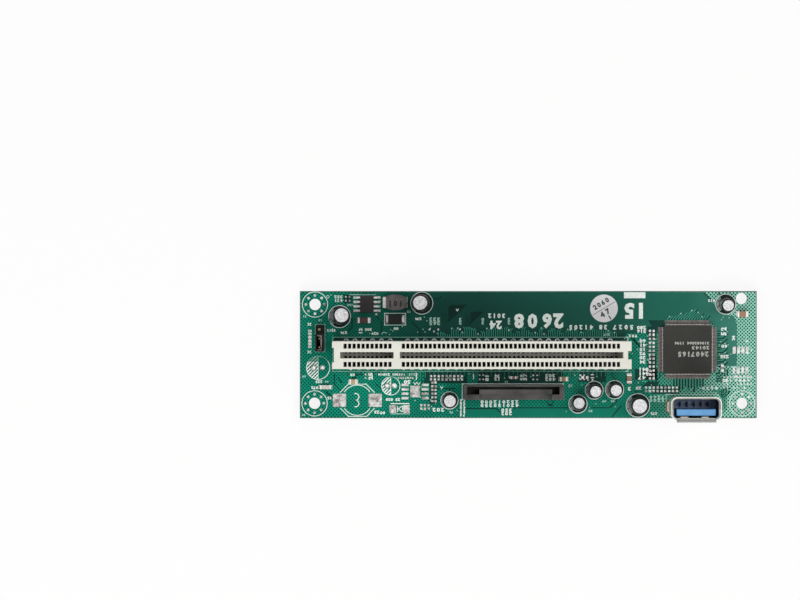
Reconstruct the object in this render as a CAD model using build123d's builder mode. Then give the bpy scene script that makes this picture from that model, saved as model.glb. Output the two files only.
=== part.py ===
from build123d import *
import os
from math import hypot

os.makedirs("parts", exist_ok=True)

# A riser board that lies flat: a green circuit board with a tall card slot, a vertical
# data port, a power inlet and the parts of a small power supply. Millimetres, +Z up,
# origin on the table under the middle of the board. Leads stand out below the board.

# Board, laid out around the card slot
board_thickness = 1.6
lead_reach = 1.4
left_margin = 9.65
right_margin = 37.35
upper_strip = 14.35
lower_strip = 14.55
edge_bevel = 0.25

# Mounting holes
mount_hole_radius = 1.65
upper_left_hole_inset = (4.38, 3.88)
lower_left_hole_inset = (4.25, 4.28)
lower_right_hole_inset = (4.2, 4.25)
upper_right_hole_inset = (4.35, 2.15)
ring_via_radius = 2.64
ring_via_count = 8
via_pad_radius = 0.4
mount_ring_radius = 3.65

# Copper pads, print and solder
pad_thickness = 0.05
print_thickness = 0.03
print_line = 0.18
print_margin = 0.3
print_bar_pitch = 0.7
solder_height = 0.75
lead_hole_radius = 0.45
lead_pad_radius = 0.75
solder_tip_radius = 0.36
square_pad_side = 0.62

# Card slot
contact_pitch = 1.27
contact_positions = 62
key_first = 11
key_positions = 2
slot_end_wall = 3.715
slot_width = 7.8
slot_height = 15.49
slot_standoff = 0.9
card_gap_width = 1.8
card_gap_depth = 9.0
card_gap_overrun = 1.42
card_key_width = 1.76
cavity_width = 0.73
cavity_inner = 0.45
cavity_outer = 3.2
window_length = 1.22
slot_roof = 1.4
left_notch_depth = 0.5
left_notch_width = 4.2
right_notch_depth = 1.05
right_notch_width = 2.4
slot_foot_length = 2.3
slot_print_reach = 4.93
peg_radius = 1.15
peg_inset = 2.2
peg_reach = 0.9
peg_clearance = 0.05

# Strip contacts of the card slot
strip_width = 0.5
strip_thickness = 0.3
strip_seat = 2.75
inner_tail_row = 1.27
outer_tail_row = 3.81
strip_grip = 3.2
crest_bend = 0.8
crest_offset = 0.6
crest_depth = 4.2
tip_offset = 1.3
tip_depth = 2.3
jog_margin = 0.135

# Bridge chip, a square package with leads on four sides
bridge_leads_per_side = 32
bridge_pitch = 0.4
bridge_corner = 0.8
bridge_chamfer = 0.2
bridge_mark_radius = 0.6
bridge_height = 1.4
bridge_standoff = 0.1
bridge_lead_width = 0.2
bridge_lead_thickness = 0.13
bridge_lead_span = 1.0
bridge_foot = 0.5
package_taper = 8
pin_mark_depth = 0.08

# Regulator, a small package with leads on two sides
regulator_leads_per_side = 4
regulator_pitch = 1.27
regulator_corner = 0.545
regulator_width = 3.9
regulator_height = 1.4
regulator_standoff = 0.15
regulator_chamfer = 0.05
regulator_mark_radius = 0.25
regulator_lead_width = 0.42
regulator_lead_thickness = 0.2
regulator_lead_span = 1.05
regulator_foot = 0.6
regulator_pad_length = 2.0
regulator_pad_width = 0.7
regulator_pad_overlap = 0.1

# Power inductor, a wound core between two end clips
inductor_length = 5.2
inductor_end_width = 3.4
inductor_width = 4.55
inductor_flange = 0.7
inductor_height = 3.0
inductor_spool_radius = 1.1
inductor_winding_radius = 2.0
inductor_clip = 0.8
inductor_clip_width = 3.2
inductor_clip_height = 1.8
inductor_pad_length = 2.0

# Diode with folded end terminals
diode_length = 4.0
diode_width = 2.5
diode_height = 2.1
diode_terminal_width = 1.5
diode_terminal_reach = 0.5
diode_terminal_thickness = 0.2
diode_standoff = 0.15
diode_pad_length = 1.5
diode_pad_width = 2.4
diode_fold_length = 0.6
diode_print_length = 6.1
diode_print_width = 3.4

# Vertical data port
port_inner_length = 12.7
port_inner_width = 5.26
port_wall = 0.3
port_corner = 1.0
port_height = 14.0
port_rim_rise = 0.9
port_rim_corner = 1.5
port_side_flare = 0.55
port_upper_flare = 0.35
port_lip_flare = 1.05
port_lip_length = 11.2
port_standoff = 0.3
port_leg_width = 2.0
port_leg_clearance = 0.3
port_leg_pad_margin = 0.85
port_spring_width = 2.0
port_spring_height = 6.0
port_spring_gap = 0.25
port_spring_push = 0.45
port_spring_offset = 3.0
port_spring_base = 4.6
port_base_height = 4.0
port_fit = 0.05
tongue_length = 11.17
tongue_thickness = 1.85
tongue_back_gap = 0.62
tongue_top_gap = 1.1
long_contact_pitch = (-3.5, -1.0, 1.0, 3.5)
long_contact_width = 1.0
long_contact_end = 1.2
short_contact_pitch = (-4.0, -2.0, 0.0, 2.0, 4.0)
short_contact_width = 0.6
short_contact_height = 2.6
short_contact_row = 1.1
port_contact_thickness = 0.25
port_well_width = 0.9
port_well_depth = 1.6

# Power inlet
inlet_contacts = 15
inlet_pitch = 1.27
inlet_tongue_end = 1.465
inlet_left_wall = 0.83
inlet_left_guide = 3.63
inlet_right_guide = 2.22
inlet_right_wall = 1.28
inlet_width = 4.2
inlet_height = 8.8
inlet_base = 3.0
inlet_front_wall = 0.4
inlet_front_gap = 0.85
inlet_tongue = 1.23
inlet_shelf_drop = 1.6
inlet_guide_width = 2.3
inlet_contact_width = 0.8
inlet_contact_thickness = 0.15
inlet_contact_end = 0.7
inlet_tail_width = 0.5
inlet_hole_radius = 0.4
inlet_joint_radius = 0.55
inlet_joint_taper = 12
inlet_peg_radius = 0.7

# Pin header and its jumper cap
header_pins_count = 3
header_pitch = 2.54
header_width = 2.5
header_base_height = 2.5
header_pin = 0.64
header_hole_radius = 0.51
header_pin_height = 8.5
jumper_length = 5.0
jumper_width = 2.4
jumper_height = 6.4
jumper_wall = 0.4
jumper_clip_thickness = 0.2
jumper_clip_gap = 0.06
jumper_clip_flange = 0.9
jumper_clip_height = 5.2
jumper_seat_gap = 0.1

# Electrolytic capacitors
can_height = 7.0
sleeve_thickness = 0.1
can_rim = 0.3
can_edge_radius = 0.35
crimp_depth = 0.25
crimp_low = 0.9
crimp_high = 1.6
bung_height = 1.0
capacitor_lead_radius = 0.25
capacitor_lead_offset = 0.95

# Chip parts and sticker
chip_end = 0.4
chip_end_proud = 0.03
sticker_radius = 4.0
sticker_thickness = 0.1
footprint_lead_hole = 0.4

# Sizes that follow from the ones above
board_bottom = lead_reach
board_top = board_bottom + board_thickness
part_seat = board_top + pad_thickness
slot_length = (contact_positions - 1) * contact_pitch + 2 * slot_end_wall
board_length = left_margin + slot_length + right_margin
board_width = lower_strip + slot_width + upper_strip
left_edge = -board_length / 2
right_edge = board_length / 2
lower_edge = -board_width / 2
upper_edge = board_width / 2
slot_x = left_edge + left_margin + slot_length / 2
slot_y = lower_edge + lower_strip + slot_width / 2
slot_left = slot_x - slot_length / 2
slot_right = slot_x + slot_length / 2
slot_bottom = board_top + slot_standoff
slot_top = board_top + slot_height
first_contact = slot_x - (contact_positions - 1) * contact_pitch / 2
last_contact = slot_x + (contact_positions - 1) * contact_pitch / 2
key_x = first_contact + (key_first + (key_positions - 1) / 2) * contact_pitch
gap_left = first_contact - card_gap_overrun
gap_right = last_contact + card_gap_overrun
gap_floor = slot_top - card_gap_depth
wall_width = (slot_width - card_gap_width) / 2


def from_left(distance):
    return left_edge + distance


def from_right(distance):
    return right_edge - distance


def from_upper(distance):
    return upper_edge - distance


def from_lower(distance):
    return lower_edge + distance


def column(x, first_y, count, pitch):
    """Points one below the other."""
    return [(x, first_y - step * pitch) for step in range(count)]


def row(first_x, y, count, pitch):
    """Points side by side."""
    return [(first_x + step * pitch, y) for step in range(count)]


# Places of the contacts: outer and inner tails alternate along each side
contact_numbers = [
    number
    for number in range(contact_positions)
    if not key_first <= number < key_first + key_positions
]
even_contacts = [first_contact + n * contact_pitch for n in contact_numbers if n % 2 == 0]
odd_contacts = [first_contact + n * contact_pitch for n in contact_numbers if n % 2 == 1]
all_contacts = even_contacts + odd_contacts
outer_row_points = [(x, slot_y + outer_tail_row) for x in even_contacts]
outer_row_points += [(x, slot_y - outer_tail_row) for x in odd_contacts]
inner_row_points = [(x, slot_y + inner_tail_row) for x in odd_contacts]
inner_row_points += [(x, slot_y - inner_tail_row) for x in even_contacts]
contact_sides = [(x, side) for x in all_contacts for side in (1, -1)]
peg_points = [(slot_left + peg_inset, slot_y), (slot_right - peg_inset, slot_y)]

# Places of the mounting holes
upper_left_hole = (from_left(upper_left_hole_inset[0]), from_upper(upper_left_hole_inset[1]))
lower_left_hole = (from_left(lower_left_hole_inset[0]), from_lower(lower_left_hole_inset[1]))
lower_right_hole = (
    from_right(lower_right_hole_inset[0]),
    from_lower(lower_right_hole_inset[1]),
)
upper_right_hole = (
    from_right(upper_right_hole_inset[0]),
    from_upper(upper_right_hole_inset[1]),
)
ringed_holes = [upper_left_hole, lower_left_hole, lower_right_hole]
mount_holes = ringed_holes + [upper_right_hole]

# Electrolytic capacitors: x, y, diameter, ring of print, bare top disc, lean of the top
capacitors = [
    (from_left(11.45), from_upper(7.37), 5.0, 3.2, 1.98, (0.71, 0.41)),
    (from_left(35.2), from_upper(3.47), 5.0, 3.2, 2.0, (-0.54, 0.08)),
    (from_left(43.2), from_lower(5.14), 4.2, 2.5, 1.8, (0.0, 0.0)),
    (slot_x + 28.18, from_lower(4.11), 4.0, 2.65, 1.55, (-0.08, 0.42)),
    (slot_x + 32.86, from_lower(8.09), 4.0, 2.6, 1.63, (0.0, -0.2)),
    (slot_x + 38.74, from_lower(8.23), 4.0, 2.65, 1.67, (0.0, 0.0)),
    (from_right(34.3), from_lower(3.7), 5.0, 3.4, 2.03, (0.0, 0.0)),
    (from_right(8.96), from_upper(3.79), 4.0, 2.9, 1.67, (0.0, -0.34)),
]
capacitor_lead_points = []
for cap_x, cap_y, *cap_rest in capacitors:
    capacitor_lead_points.append((cap_x - capacitor_lead_offset, cap_y))
    capacitor_lead_points.append((cap_x + capacitor_lead_offset, cap_y))

# Empty footprints for two more capacitors: x, y, ring, left lead and right lead
empty_rings = [
    (from_left(5.27), from_lower(14.55), 3.36, -1.27, 1.24),
    (from_left(26.25), from_lower(9.33), 2.65, -1.01, 0.99),
]
empty_lead_points = []
for ring_x, ring_y, ring_radius, left_lead, right_lead in empty_rings:
    empty_lead_points.append((ring_x + left_lead, ring_y))
    empty_lead_points.append((ring_x + right_lead, ring_y))

# Places of the other parts
bridge_x = from_right(20.07)
bridge_y = slot_y + 1.4
regulator_x = from_left(19.37)
regulator_y = from_upper(3.76)
inductor_x = from_left(27.49)
inductor_y = from_upper(3.27)
diode_x = from_left(27.5)
diode_y = from_upper(8.11)
port_x = from_right(18.76)
port_y = from_lower(3.25)
header_x = from_left(5.85)
header_y = from_upper(13.58)
sticker_point = (from_right(44.12), from_upper(5.0))
coil_footprint = (from_left(16.6), from_lower(5.17))
coil_pad_spacing = 10.3
coil_pad_side = 3.8
coil_print_length = 4.96
coil_print_width = 9.3
thermal_chip = (from_left(33.27), from_lower(7.7))
thermal_pad_length = 2.74
thermal_pad_width = 3.3
small_chip = (from_right(4.7), slot_y - 1.73)
spare_diode = (from_left(28.78), from_lower(2.65))
spare_pad_spacing = 3.9
spare_pad_length = 1.96
spare_pad_width = 2.3

# Chip parts: x, y, size along x, size along y, height, and whether they lie along x
chips = [
    (from_left(18.46), from_upper(8.44), 3.2, 1.6, 1.2, True),
    (from_left(15.38), from_lower(10.6), 2.0, 1.25, 0.9, True),
    (slot_x + 24.0, from_lower(11.32), 2.0, 1.25, 0.9, True),
    (from_right(4.2), from_upper(6.68), 2.8, 1.65, 1.2, True),
    (slot_x + 9.59, from_lower(11.72), 1.6, 0.8, 0.6, True),
    (from_right(36.84), from_lower(11.47), 1.4, 2.3, 1.0, False),
    (from_left(7.41), from_lower(8.98), 3.2, 1.15, 0.8, True),
    (from_right(9.95), slot_y - 3.95, 0.8, 1.6, 0.6, False),
    (from_right(49.6), from_lower(11.75), 1.4, 0.8, 0.5, True),
]

# Places along the power inlet
inlet_tongue_length = (inlet_contacts - 1) * inlet_pitch + 2 * inlet_tongue_end
inlet_length = (
    inlet_left_wall
    + inlet_left_guide
    + inlet_tongue_length
    + inlet_right_guide
    + inlet_right_wall
)
inlet_x = slot_x + 9.395
inlet_y = from_lower(7.675)
inlet_left = inlet_x - inlet_length / 2
inlet_front = inlet_y + inlet_width / 2
inlet_top = board_top + inlet_height
inlet_tongue_left = inlet_left + inlet_left_wall + inlet_left_guide
inlet_tongue_x = inlet_tongue_left + inlet_tongue_length / 2
inlet_tongue_front = inlet_front - inlet_front_wall - inlet_front_gap
inlet_contact_y = inlet_tongue_front - inlet_contact_thickness / 2
inlet_contact_points = row(
    inlet_tongue_left + inlet_tongue_end, inlet_contact_y, inlet_contacts, inlet_pitch
)
inlet_peg_points = [
    (inlet_left + inlet_left_wall + inlet_left_guide / 2, inlet_y),
    (inlet_left + inlet_length - inlet_right_wall - inlet_right_guide / 2, inlet_y),
]

# Places in the data port
port_outer_length = port_inner_length + 2 * port_wall
port_outer_width = port_inner_width + 2 * port_wall
port_bottom = board_top + port_standoff
port_top = board_top + port_height
port_rim_base = port_top - port_rim_rise
port_base_top = board_top + port_base_height
tongue_y = port_y - port_inner_width / 2 + tongue_back_gap + tongue_thickness / 2
tongue_front = tongue_y + tongue_thickness / 2
long_contact_y = tongue_front - port_contact_thickness / 2
short_contact_y = tongue_front + short_contact_row
long_contact_points = [(port_x + offset, long_contact_y) for offset in long_contact_pitch]
short_contact_points = [(port_x + offset, short_contact_y) for offset in short_contact_pitch]
port_contact_points = long_contact_points + short_contact_points
port_leg_points = [
    (port_x - port_inner_length / 2 - port_wall / 2, port_y),
    (port_x + port_inner_length / 2 + port_wall / 2, port_y),
]

header_points = column(
    header_x, header_y + (header_pins_count - 1) * header_pitch / 2, header_pins_count, header_pitch
)

# Card slot housing, one moulding drawn as blocks that meet face to face around the card gap:
# a floor on feet, two walls with the contacts' cavities, two ends and the key rib
with BuildPart() as slot_floor:
    with BuildSketch(Plane.XY.offset(slot_bottom)):
        with Locations((slot_x, slot_y)):
            Rectangle(slot_length, card_gap_width)
    extrude(amount=gap_floor - slot_bottom)
    with BuildSketch(Plane.XY.offset(slot_bottom)):
        with Locations(*[(x, slot_y + side * card_gap_width / 2) for x, side in contact_sides]):
            Rectangle(cavity_width, card_gap_width - 2 * cavity_inner)
    extrude(amount=gap_floor - slot_bottom, clean=False, mode=Mode.SUBTRACT)
    with BuildSketch(Plane.XY.offset(board_top)):
        with Locations((slot_x, slot_y)):
            with GridLocations(slot_length - slot_foot_length, 1, 2, 1):
                Rectangle(slot_foot_length, slot_width)
        with Locations((key_x, slot_y)):
            Rectangle(card_key_width, card_gap_width)
    extrude(amount=slot_standoff)
    with BuildSketch(Plane.XY.offset(board_top)):
        with Locations((slot_left, slot_y)):
            Rectangle(2 * left_notch_depth, left_notch_width)
        with Locations((slot_right, slot_y)):
            Rectangle(2 * right_notch_depth, right_notch_width)
    extrude(amount=gap_floor - board_top, mode=Mode.SUBTRACT)
    with BuildSketch(Plane.XY.offset(board_bottom - peg_reach)):
        with Locations(*peg_points):
            Circle(peg_radius)
    extrude(amount=board_thickness + peg_reach + slot_standoff)

# the cavities are open below, where the contacts were pushed in
with BuildPart() as slot_wall:
    with BuildSketch(Plane.XY.offset(slot_bottom)):
        with Locations((slot_x, slot_y + (card_gap_width + wall_width) / 2)):
            Rectangle(slot_length, wall_width)
    extrude(amount=slot_top - slot_bottom)
    with BuildSketch(Plane.XY.offset(slot_bottom)):
        with Locations(*[(x, slot_y + (cavity_inner + cavity_outer) / 2) for x in all_contacts]):
            Rectangle(cavity_width, cavity_outer - cavity_inner)
    extrude(amount=slot_top - slot_roof - slot_bottom, clean=False, mode=Mode.SUBTRACT)
    with BuildSketch(Plane.XY.offset(slot_top)):
        with Locations(*[(x, slot_y + cavity_outer - window_length / 2) for x in all_contacts]):
            Rectangle(cavity_width, window_length)
    extrude(amount=-slot_roof, clean=False, mode=Mode.SUBTRACT)
    with BuildSketch(Plane.XY.offset(slot_bottom)):
        with Locations((slot_left, slot_y)):
            Rectangle(2 * left_notch_depth, left_notch_width)
        with Locations((slot_right, slot_y)):
            Rectangle(2 * right_notch_depth, right_notch_width)
    extrude(amount=slot_top - slot_bottom, mode=Mode.SUBTRACT)

slot_blocks = [
    slot_floor.solid(),
    slot_wall.solid(),
    slot_wall.solid().mirror(Plane.XZ.offset(-slot_y)),
]
for block_left, block_right in (
    (slot_left + left_notch_depth, gap_left),
    (key_x - card_key_width / 2, key_x + card_key_width / 2),
    (gap_right, slot_right - right_notch_depth),
):
    with BuildPart() as slot_block:
        with BuildSketch(Plane.XY.offset(gap_floor)):
            with Locations(((block_left + block_right) / 2, slot_y)):
                Rectangle(block_right - block_left, card_gap_width)
        extrude(amount=card_gap_depth)
    slot_blocks.append(slot_block.solid())

pci_slot_housing = Compound(slot_blocks)
pci_slot_housing.label = "pci_slot_housing"
export_step(pci_slot_housing, "parts/pci_slot_housing.step")


def strip_contact(tail_row):
    """One bent strip: tail through the board, jog under the housing, spring arm inside it."""
    seat = strip_seat - strip_thickness / 2
    tail = tail_row - strip_thickness / 2
    jog_low = board_top + jog_margin
    jog_high = slot_bottom - jog_margin
    arm_foot = slot_bottom + strip_grip
    with BuildPart() as contact:
        with BuildSketch(Plane.YZ):
            with BuildLine():
                Polyline((tail, 0), (tail, jog_low), (seat, jog_high), (seat, arm_foot))
                FilletPolyline(
                    (seat, arm_foot),
                    (crest_offset, slot_top - crest_depth),
                    (tip_offset, slot_top - tip_depth),
                    radius=crest_bend,
                )
                offset(amount=strip_thickness, side=Side.RIGHT)
            make_face()
        extrude(amount=strip_width / 2, both=True)
    return contact.part


outer_contact = strip_contact(outer_tail_row)
inner_contact = strip_contact(inner_tail_row)

with BuildPart() as slot_contacts_upper:
    with Locations(*[(x, slot_y, 0) for x in even_contacts]):
        add(outer_contact)
    with Locations(*[(x, slot_y, 0) for x in odd_contacts]):
        add(inner_contact)
slot_contacts_upper.part.label = "slot_contacts_upper"
export_step(slot_contacts_upper.part, "parts/slot_contacts_upper.step")

with BuildPart() as slot_contacts_lower:
    with Locations(*[(x, slot_y, 0) for x in odd_contacts]):
        add(mirror(outer_contact, about=Plane.XZ, mode=Mode.PRIVATE))
    with Locations(*[(x, slot_y, 0) for x in even_contacts]):
        add(mirror(inner_contact, about=Plane.XZ, mode=Mode.PRIVATE))
slot_contacts_lower.part.label = "slot_contacts_lower"
export_step(slot_contacts_lower.part, "parts/slot_contacts_lower.step")

# Circuit board with its mounting holes, lead holes, peg holes and shell slots
with BuildPart() as circuit_board:
    with BuildSketch(Plane.XY.offset(board_bottom)):
        Rectangle(board_length, board_width)
    extrude(amount=board_thickness)
    chamfer(circuit_board.edges().filter_by(Axis.Z, reverse=True), length=edge_bevel)
    with BuildSketch(Plane.XY.offset(board_bottom)):
        with Locations(*mount_holes):
            Circle(mount_hole_radius)
        with Locations(*outer_row_points, *inner_row_points):
            Circle(lead_hole_radius)
        with Locations(*capacitor_lead_points, *empty_lead_points):
            Circle(footprint_lead_hole)
        with Locations(*peg_points):
            Circle(peg_radius + peg_clearance)
        with Locations(*port_contact_points):
            Circle(lead_hole_radius)
        with Locations(*port_leg_points):
            SlotOverall(
                port_leg_width + 2 * port_leg_clearance,
                port_wall + 2 * port_leg_clearance,
                rotation=90,
            )
        with Locations(*inlet_contact_points):
            Circle(inlet_hole_radius)
        with Locations(*inlet_peg_points):
            Circle(inlet_peg_radius + peg_clearance)
        with Locations(*header_points):
            Circle(header_hole_radius)
    extrude(amount=board_thickness, mode=Mode.SUBTRACT)
circuit_board.part.label = "circuit_board"
export_step(circuit_board.part, "parts/circuit_board.step")


def solder_cone(hole_sketch):
    """The solder under the board around one lead, with the lead's own shape left open."""
    with BuildPart() as cone:
        with BuildSketch(Plane.XY.offset(board_bottom)):
            Circle(lead_pad_radius)
        with BuildSketch(Plane.XY.offset(board_bottom - solder_height)):
            Circle(solder_tip_radius)
        loft()
        with BuildSketch(Plane.XY.offset(board_bottom)):
            add(hole_sketch)
        extrude(amount=-solder_height, mode=Mode.SUBTRACT)
    return cone.part


def round_lead(radius):
    with BuildSketch() as lead:
        Circle(radius)
    return lead.sketch


def flat_lead(length, width):
    with BuildSketch() as lead:
        Rectangle(length, width)
    return lead.sketch


slot_joint = solder_cone(flat_lead(strip_width, strip_thickness))
with BuildPart() as slot_solder_joints:
    with Locations(*[(x, y, 0) for x, y in outer_row_points + inner_row_points]):
        add(slot_joint)
slot_solder_joints.part.label = "slot_solder_joints"
export_step(slot_solder_joints.part, "parts/slot_solder_joints.step")

with BuildPart() as lead_solder_joints:
    with Locations(*[(x, y, 0) for x, y in capacitor_lead_points]):
        add(solder_cone(round_lead(capacitor_lead_radius)))
    with Locations(*[(x, y, 0) for x, y in header_points]):
        add(solder_cone(flat_lead(header_pin, header_pin)))
    with Locations(*[(x, y, 0) for x, y in long_contact_points]):
        add(solder_cone(flat_lead(short_contact_width, port_contact_thickness)))
    with Locations(*[(x, y, 0) for x, y in short_contact_points]):
        add(solder_cone(flat_lead(short_contact_width, port_contact_thickness)))
    with BuildSketch(Plane.XY.offset(board_bottom)):
        with Locations(*inlet_contact_points):
            Circle(inlet_joint_radius)
            Rectangle(inlet_tail_width, inlet_contact_thickness, mode=Mode.SUBTRACT)
    extrude(amount=-solder_height, taper=inlet_joint_taper)
lead_solder_joints.part.label = "lead_solder_joints"
export_step(lead_solder_joints.part, "parts/lead_solder_joints.step")


def package_body(length, width, height, standoff, corner, mark_radius, seat):
    """A moulded body that narrows above and below its parting line, with a pin mark."""
    with BuildPart() as body:
        with BuildSketch(Plane.XY.offset(seat + standoff + height / 2)) as outline:
            Rectangle(length, width)
            chamfer(outline.vertices(), length=corner)
        extrude(amount=height / 2, taper=package_taper)
        extrude(outline.sketch, amount=-height / 2, taper=package_taper)
        mark_x = -length / 2 + 3 * mark_radius
        mark_y = -width / 2 + 3 * mark_radius
        with BuildSketch(Plane.XY.offset(seat + standoff + height)):
            with Locations((mark_x, mark_y)):
                Circle(mark_radius)
        extrude(amount=-pin_mark_depth, mode=Mode.SUBTRACT)
    return body.part


def gull_lead(body_half, height, standoff, span, foot, width, thickness, seat):
    """One lead that leaves a body's side at mid-height, drops and ends in a flat foot."""
    leave = seat + standoff + height / 2
    shoulder = body_half + (span - foot) * 0.5
    heel = body_half + span - foot
    with BuildPart() as lead:
        with BuildSketch(Plane.XZ):
            with BuildLine():
                Polyline(
                    (body_half, leave + thickness / 2),
                    (body_half, leave - thickness / 2),
                    (shoulder, leave - thickness / 2),
                    (heel, seat),
                    (heel + foot, seat),
                    (heel + foot, seat + thickness),
                    (heel + thickness, seat + thickness),
                    (shoulder + thickness, leave + thickness / 2),
                    close=True,
                )
            make_face()
        extrude(amount=width / 2, both=True)
    return lead.part


# Bridge chip
bridge_side = (bridge_leads_per_side - 1) * bridge_pitch + 2 * bridge_corner
bridge_centre = Location((bridge_x, bridge_y, 0))
with BuildPart() as bridge_chip_body:
    with Locations(bridge_centre):
        add(
            package_body(
                bridge_side,
                bridge_side,
                bridge_height,
                bridge_standoff,
                bridge_chamfer,
                bridge_mark_radius,
                board_top,
            )
        )
bridge_chip_body.part.label = "bridge_chip_body"
export_step(bridge_chip_body.part, "parts/bridge_chip_body.step")

bridge_lead = gull_lead(
    bridge_side / 2,
    bridge_height,
    bridge_standoff,
    bridge_lead_span,
    bridge_foot,
    bridge_lead_width,
    bridge_lead_thickness,
    board_top,
)
with BuildPart() as bridge_chip_leads:
    for quarter in range(4):
        with Locations(Location((bridge_x, bridge_y, 0), (0, 0, 90 * quarter))):
            with GridLocations(1, bridge_pitch, 1, bridge_leads_per_side):
                add(bridge_lead)
bridge_chip_leads.part.label = "bridge_chip_leads"
export_step(bridge_chip_leads.part, "parts/bridge_chip_leads.step")

# Regulator
regulator_length = (regulator_leads_per_side - 1) * regulator_pitch + 2 * regulator_corner
with BuildPart() as regulator_body:
    with Locations(Location((regulator_x, regulator_y, 0), (0, 0, -90))):
        add(
            package_body(
                regulator_length,
                regulator_width,
                regulator_height,
                regulator_standoff,
                regulator_chamfer,
                regulator_mark_radius,
                part_seat,
            )
        )
regulator_body.part.label = "regulator_body"
export_step(regulator_body.part, "parts/regulator_body.step")

regulator_lead = gull_lead(
    regulator_width / 2,
    regulator_height,
    regulator_standoff,
    regulator_lead_span,
    regulator_foot,
    regulator_lead_width,
    regulator_lead_thickness,
    part_seat,
)
with BuildPart() as regulator_leads:
    for half_turn in range(2):
        with Locations(Location((regulator_x, regulator_y, 0), (0, 0, 180 * half_turn))):
            with GridLocations(1, regulator_pitch, 1, regulator_leads_per_side):
                add(regulator_lead)
regulator_leads.part.label = "regulator_leads"
export_step(regulator_leads.part, "parts/regulator_leads.step")

# Power inductor: core with two flanges, a winding on its spool and a clip at each end
inductor_bottom = part_seat + inductor_clip / 2
inductor_top = inductor_bottom + inductor_height


def inductor_outline():
    """Straight ends and bulged long sides."""
    half_length = inductor_length / 2
    half_end = inductor_end_width / 2
    with BuildSketch() as outline:
        with BuildLine():
            ThreePointArc(
                (-half_length, half_end), (0, inductor_width / 2), (half_length, half_end)
            )
            Line((half_length, half_end), (half_length, -half_end))
            ThreePointArc(
                (half_length, -half_end), (0, -inductor_width / 2), (-half_length, -half_end)
            )
            Line((-half_length, -half_end), (-half_length, half_end))
        make_face()
    return outline.sketch


with BuildPart() as power_inductor_core:
    for flange_bottom in (inductor_bottom, inductor_top - inductor_flange):
        with BuildSketch(Plane.XY.offset(flange_bottom)):
            with Locations((inductor_x, inductor_y)):
                add(inductor_outline())
        extrude(amount=inductor_flange)
    with BuildSketch(Plane.XY.offset(inductor_bottom)):
        with Locations((inductor_x, inductor_y)):
            Circle(inductor_spool_radius)
    extrude(amount=inductor_height)
power_inductor_core.part.label = "power_inductor_core"
export_step(power_inductor_core.part, "parts/power_inductor_core.step")

with BuildPart() as power_inductor_winding:
    with BuildSketch(Plane.XY.offset(inductor_bottom + inductor_flange)):
        with Locations((inductor_x, inductor_y)):
            Circle(inductor_winding_radius)
            Circle(inductor_spool_radius, mode=Mode.SUBTRACT)
    extrude(amount=inductor_height - 2 * inductor_flange)
power_inductor_winding.part.label = "power_inductor_winding"
export_step(power_inductor_winding.part, "parts/power_inductor_winding.step")

with BuildPart() as power_inductor_terminals:
    with BuildSketch(Plane.XZ.offset(-inductor_y)):
        for side in (1, -1):
            end_x = inductor_x + side * inductor_length / 2
            clip_x = end_x + side * inductor_clip / 2
            with Locations((clip_x, part_seat + inductor_clip_height / 2)):
                Rectangle(inductor_clip, inductor_clip_height)
            with Locations((end_x - side * inductor_clip / 2, part_seat + inductor_clip / 4)):
                Rectangle(inductor_clip, inductor_clip / 2)
    extrude(amount=inductor_clip_width / 2, both=True)
power_inductor_terminals.part.label = "power_inductor_terminals"
export_step(power_inductor_terminals.part, "parts/power_inductor_terminals.step")

# Diode: drafted body and two terminals folded under its ends
with BuildPart() as diode_body:
    with BuildSketch(Plane.XY.offset(part_seat + diode_standoff + diode_height / 2)) as belt:
        with Locations((diode_x, diode_y)):
            Rectangle(diode_length, diode_width)
    extrude(amount=diode_height / 2, taper=package_taper)
    extrude(belt.sketch, amount=-diode_height / 2, taper=package_taper)
diode_body.part.label = "diode_body"
export_step(diode_body.part, "parts/diode_body.step")

diode_end = diode_length / 2
diode_fold = diode_end + diode_terminal_reach
diode_shoulder = part_seat + diode_standoff + diode_height / 2
with BuildPart() as diode_terminals:
    with BuildSketch(Plane.XZ.offset(-diode_y)):
        for side in (1, -1):
            with BuildLine():
                Polyline(
                    (diode_x + side * diode_end, diode_shoulder),
                    (diode_x + side * diode_fold, diode_shoulder),
                    (diode_x + side * diode_fold, part_seat),
                    (diode_x + side * (diode_end - diode_fold_length), part_seat),
                    (diode_x + side * (diode_end - diode_fold_length), part_seat + diode_standoff),
                    (
                        diode_x + side * (diode_fold - diode_terminal_thickness),
                        part_seat + diode_standoff,
                    ),
                    (
                        diode_x + side * (diode_fold - diode_terminal_thickness),
                        diode_shoulder - diode_terminal_thickness,
                    ),
                    (diode_x + side * diode_end, diode_shoulder - diode_terminal_thickness),
                    close=True,
                )
            make_face()
    extrude(amount=diode_terminal_width / 2, both=True)
    add(diode_body.part, mode=Mode.SUBTRACT)
diode_terminals.part.label = "diode_terminals"
export_step(diode_terminals.part, "parts/diode_terminals.step")

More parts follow.
